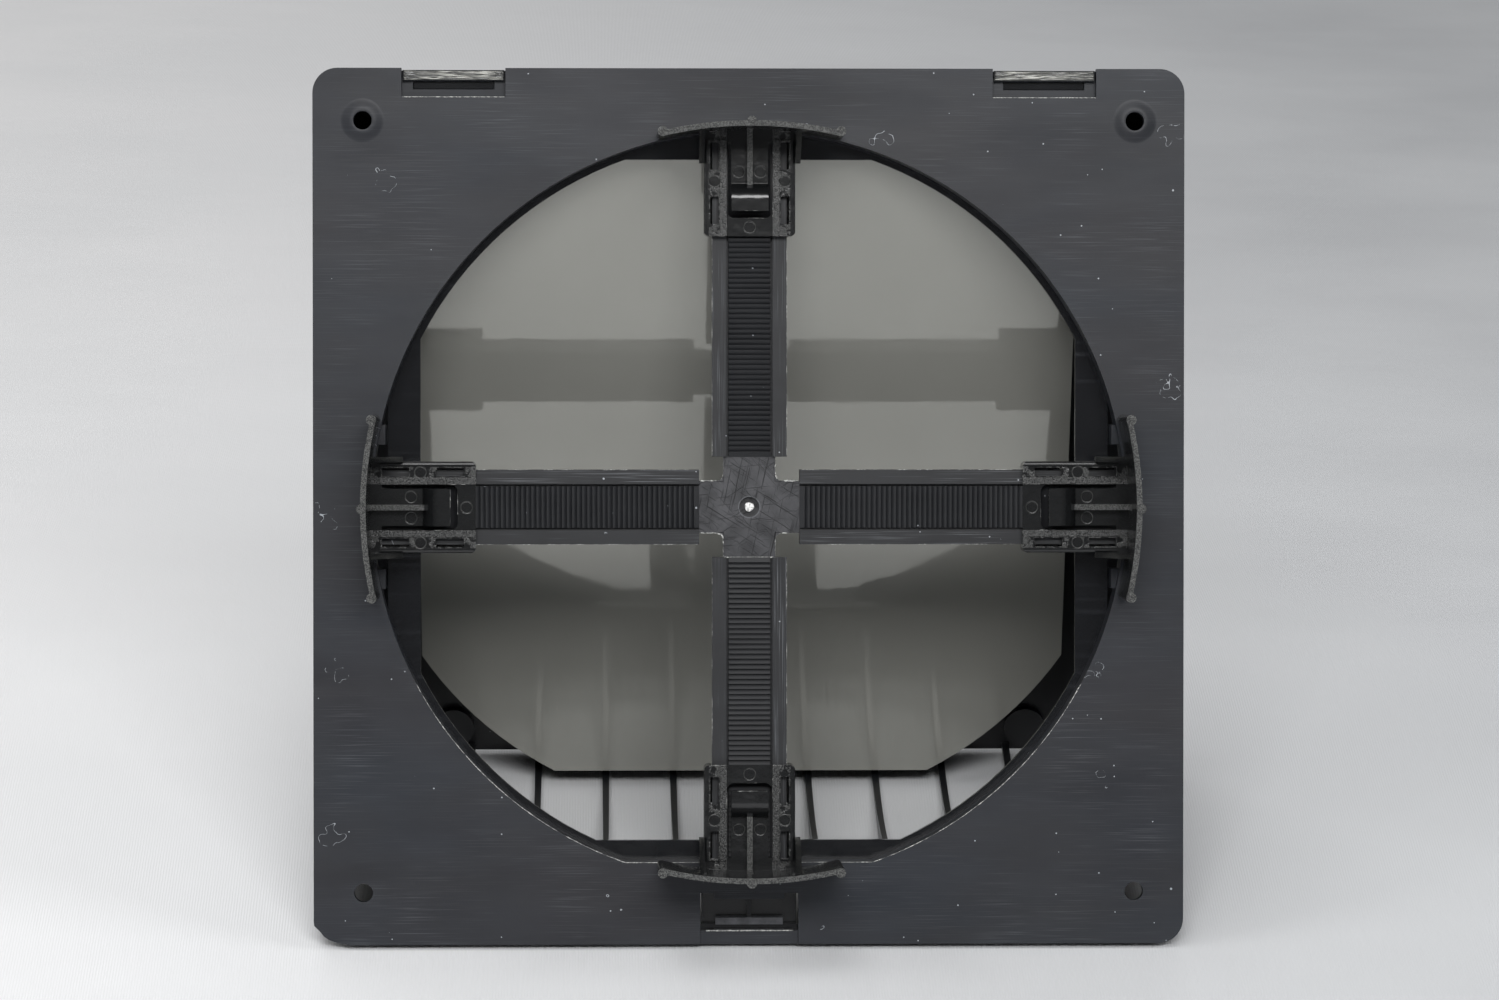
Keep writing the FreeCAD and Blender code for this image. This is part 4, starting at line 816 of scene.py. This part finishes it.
class GRILLE_OT_rail_flash(bpy.types.Operator):
    """Rubbed edges of the cross with painted highlights: fine ragged pale beads along both outer edges of
    each arm's rails, where they catch the light, made on the right arm and turned about Y to each arm"""

    bl_idname = "grille.rail_flash"
    bl_label = "Rubbed arm edges"

    def execute(self, context):
        sizes = context.scene.grille_sizes
        material = bpy.data.materials["abs_stress_whitened"]
        paths = []
        start = sizes.hub_end + 0.2 * MM
        for side, turn in TURNS.items():
            for z in (-sizes.arm_half, sizes.arm_half):
                ends = np.array([(start, 0, z), (clip_inner_end(side), 0, z)])
                paths.append(ends @ spin(turn))
        # Painted highlight: the pale beads stand for the light caught by the rails' edges as well as for
        # rubbing.
        belongs(burr_object("rail_flash", paths, sizes.rail_bead, material, 400, 1.3), "base")
        return {"FINISHED"}


class GRILLE_OT_flash(bpy.types.Operator):
    """Moulding flash on the base plate with painted highlights: ragged pale beads along the lower rim of the
    opening, the lower edges of the hook notches and the top edge of the latch bar, all facing up into the
    light"""

    bl_idname = "grille.flash"
    bl_label = "Plate flash"

    def execute(self, context):
        colours, sizes = context.scene.grille_colours, context.scene.grille_sizes
        material = whitened_plastic_painted_highlight(colours)
        low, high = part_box("base_plate")
        rim, level = sizes.duct_radius, sizes.duct_flat
        flat_half = math.sqrt(rim**2 - level**2)
        rail_edge, last_turn = 10.3 * MM, math.radians(62)
        paths = []
        for sign in (-1, 1):
            turn = np.linspace(math.asin(flat_half / rim), last_turn, 60)
            paths.append(np.stack([sign * rim * np.sin(turn), 0 * turn, -rim * np.cos(turn)], -1))
            paths.append([(sign * flat_half, 0, -level), (sign * rail_edge, 0, -level)])
        # Painted highlight: the pale beads here stand for the light that these upward edges catch.
        made = burr_object("opening_flash", paths, sizes.opening_bead, material, 60, 0.7)
        belongs(made, "base")
        y, z = 0.02 * MM, high.z - sizes.notch_low
        edges = []
        for sign in (-1, 1):
            middle, half = sign * sizes.notch_middle, sizes.notch_half
            edges.append([(middle - half, y, z), (middle + half, y, z)])
        belongs(burr_object("notch_flash", edges, sizes.notch_bead, material, 80, 0.4), "base")
        y, z = sizes.latch_back, low.z + sizes.latch_bar
        half = sizes.latch_half - 1.0 * MM
        edges = [[(-half, y, z), (half, y, z)]]
        belongs(burr_object("latch_flash", edges, sizes.latch_bead, material, 90, 0.3), "base")
        return {"FINISHED"}


class GRILLE_OT_clip_flash(bpy.types.Operator):
    """Burrs of the clips with painted highlights: ragged pale beads along the inner ends of the rails, the
    sides of the window and the lip of the finger tab, edges that catch the light, made on the right arm and
    turned about Y to each arm"""

    bl_idname = "grille.clip_flash"
    bl_label = "Clip flash"

    def execute(self, context):
        sizes = context.scene.grille_sizes
        material = bpy.data.materials["abs_stress_whitened"]
        for number, (side, turn) in enumerate(TURNS.items()):
            rng = np.random.default_rng(200 + number)
            inner, back = clip_inner_end(side), -sizes.clip_back
            paths = []
            for sign in (-1, 1):
                window, rail = sign * sizes.window_half, sign * (sizes.clip_half - 1.2 * MM)
                first = inner + 0.6 * MM + rng.random() * 4 * MM
                last = first + (2 + 4 * rng.random()) * MM
                paths.append([(first, back, window), (last, back, window)])
                paths.append([(inner, back + 0.1 * MM, window), (inner, back + 0.1 * MM, rail)])
            tab, y = inner + sizes.tab_start, -sizes.tab_back
            paths.append([(tab, y, -sizes.tab_half), (tab, y, sizes.tab_half)])
            start, y = inner + sizes.window_start, back + 0.45 * MM
            paths.append([(start, y, -3.0 * MM), (start, y, 1.5 * MM)])
            paths = [np.asarray(path) @ spin(turn) for path in paths]
            seed = 300 + 20 * number
            # Painted highlight: these pale burrs also stand for the light that the clips' edges catch.
            made = burr_object(f"clip_{side}_flash", paths, sizes.clip_bead, material, seed, 1.2)
            belongs(made, "clip_" + side)
        return {"FINISHED"}


class GRILLE_OT_hook_lips(bpy.types.Operator):
    """Dragged edges of the hood's two hooks: y = y0 - the sum of a |sin(pi n w + drift)| over three numbers n
    of ridges, w running down the edge, and the drift changing along x, so the ridges run sideways"""

    bl_idname = "grille.hook_lips"
    bl_label = "Hook lips"

    def execute(self, context):
        sizes = context.scene.grille_sizes
        material = streaked_lip()
        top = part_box("hood")[1].z - sizes.lip_top
        rng = np.random.default_rng(17)
        rows, columns = 26, 60
        u, w = np.meshgrid(np.linspace(0, 1, columns), np.linspace(0, 1, rows))
        for side, sign in (("left", -1), ("right", 1)):
            x = sign * sizes.notch_middle + (2 * u - 1) * sizes.lip_half
            y = np.full((rows, columns), sizes.lip_face)
            z = top - w * sizes.lip_tall
            for ridges, height in DRAG_RIDGES:
                drift = 0.9 * np.sin(2 * math.pi * (u * rng.uniform(0.4, 1.2) + rng.random()))
                y -= height * MM * np.abs(np.sin(math.pi * ridges * w + drift))
            y[[0, -1]] = sizes.lip_root
            y[:, [0, -1]] = sizes.lip_root
            points = np.stack([x, y, z], -1)
            made = mesh_object(f"hook_lip_{side}", points, grid_faces(rows, columns), material)
            belongs(made, "base")
        return {"FINISHED"}


def soft_light(name, place, target, wide, high, watts):
    """A rectangular soft light at a place, turned to a target."""
    made = bpy.data.objects.new(name, bpy.data.lights.new(name, "AREA"))
    made.data.shape = "RECTANGLE"
    made.data.size = wide
    made.data.size_y = high
    made.data.energy = watts
    made.location = place
    made.rotation_euler = (Vector(target) - Vector(place)).to_track_quat("-Z", "Y").to_euler()
    bpy.context.scene.collection.objects.link(made)


class GRILLE_OT_stage(bpy.types.Operator):
    """Floor, camera and soft light; the floor's height is the sum, step by step along y, of the tangent of a
    slope: the sheet slope under the hood, easing to the far slope. Behind the grille it falls away"""

    bl_idname = "grille.stage"
    bl_label = "Stage"

    def execute(self, context):
        scene = context.scene
        stage = scene.grille_stage
        foot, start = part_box("base_plate")[0].z, stage.slope_start
        ahead = start + np.concatenate([np.linspace(0, 0.4, 41), np.linspace(0.5, 5.5, 26)])
        ease = np.clip((ahead - start - stage.slope_run) / stage.slope_ease, 0, 1)
        ease = ease**2 * (3 - 2 * ease)
        slope = np.tan(stage.slope + (stage.far_slope - stage.slope) * ease)
        rise = np.concatenate([[0], np.cumsum(np.diff(ahead) * (slope[1:] + slope[:-1]) / 2)])
        # Places behind the grille in metres, and the share of the fall reached there
        behind, fallen = np.array([(-4.0, 1.0), (-0.5, 1.0), (-0.4, 0.93), (-0.3, 0.75)]).T
        drop = stage.fall_run * math.tan(stage.slope)
        v = np.concatenate([behind, ahead])
        height = foot + np.concatenate([-drop * fallen, rise])
        across = np.linspace(-4, 4, 17)
        points = np.stack(np.broadcast_arrays(across, v[:, None], height[:, None]), -1)
        cloth = sheet_floor(scene.grille_colours)
        mesh_object("floor_sheet", points, grid_faces(len(v), len(across)), cloth)
        camera = bpy.data.objects.new("camera", bpy.data.cameras.new("camera"))
        camera.data.lens = stage.lens
        camera.data.clip_end = 20
        camera.location = stage.eye
        camera.rotation_euler = (math.radians(90) - stage.pitch, 0, -stage.yaw)
        scene.collection.objects.link(camera)
        scene.camera = camera
        for name, place, target, wide, high, value in LIGHTS:
            soft_light(name, place, target, wide, high, getattr(stage, value))
        world = bpy.data.worlds.new("plain_surroundings")
        world.use_nodes = True
        ground = world.node_tree.nodes["Background"]
        ground.inputs[0].default_value = (1, 1, 1, 1)
        ground.inputs[1].default_value = stage.ambient
        scene.world = world
        scene.view_settings.view_transform = "Standard"
        return {"FINISHED"}


STEPS = (
    GRILLE_OT_stage,
    GRILLE_OT_plate,
    GRILLE_OT_valve,
    GRILLE_OT_hood,
    GRILLE_OT_clips,
    GRILLE_OT_gate,
    GRILLE_OT_flash,
    GRILLE_OT_hub_corners,
    GRILLE_OT_rail_flash,
    GRILLE_OT_clip_flash,
    GRILLE_OT_hook_lips,
)


class GRILLE_PT_panel(bpy.types.Panel):
    """Lists the pieces, their colours and sizes"""

    bl_idname = "GRILLE_PT_panel"
    bl_label = "Grille"
    bl_space_type = "VIEW_3D"
    bl_region_type = "UI"
    bl_category = "Grille"

    def draw(self, context):
        layout = self.layout
        for step in STEPS:
            layout.operator(step.bl_idname, text=step.bl_label)
        for group in (context.scene.grille_colours, context.scene.grille_sizes, context.scene.grille_stage):
            for name in group.bl_rna.properties.keys():
                if name not in ("rna_type", "name"):
                    layout.prop(group, name)


CLASSES = (GrilleColours, GrilleSizes, GrilleStage, *STEPS, GRILLE_PT_panel)


def register():
    for item in CLASSES:
        bpy.utils.register_class(item)
    bpy.types.Scene.grille_colours = bpy.props.PointerProperty(type=GrilleColours)
    bpy.types.Scene.grille_sizes = bpy.props.PointerProperty(type=GrilleSizes)
    bpy.types.Scene.grille_stage = bpy.props.PointerProperty(type=GrilleStage)


def unregister():
    del bpy.types.Scene.grille_stage
    del bpy.types.Scene.grille_sizes
    del bpy.types.Scene.grille_colours
    for item in reversed(CLASSES):
        bpy.utils.unregister_class(item)


def main():
    register()
    for step in STEPS:
        group, name = step.bl_idname.split(".")
        getattr(getattr(bpy.ops, group), name)()


if __name__ == "__main__":
    main()
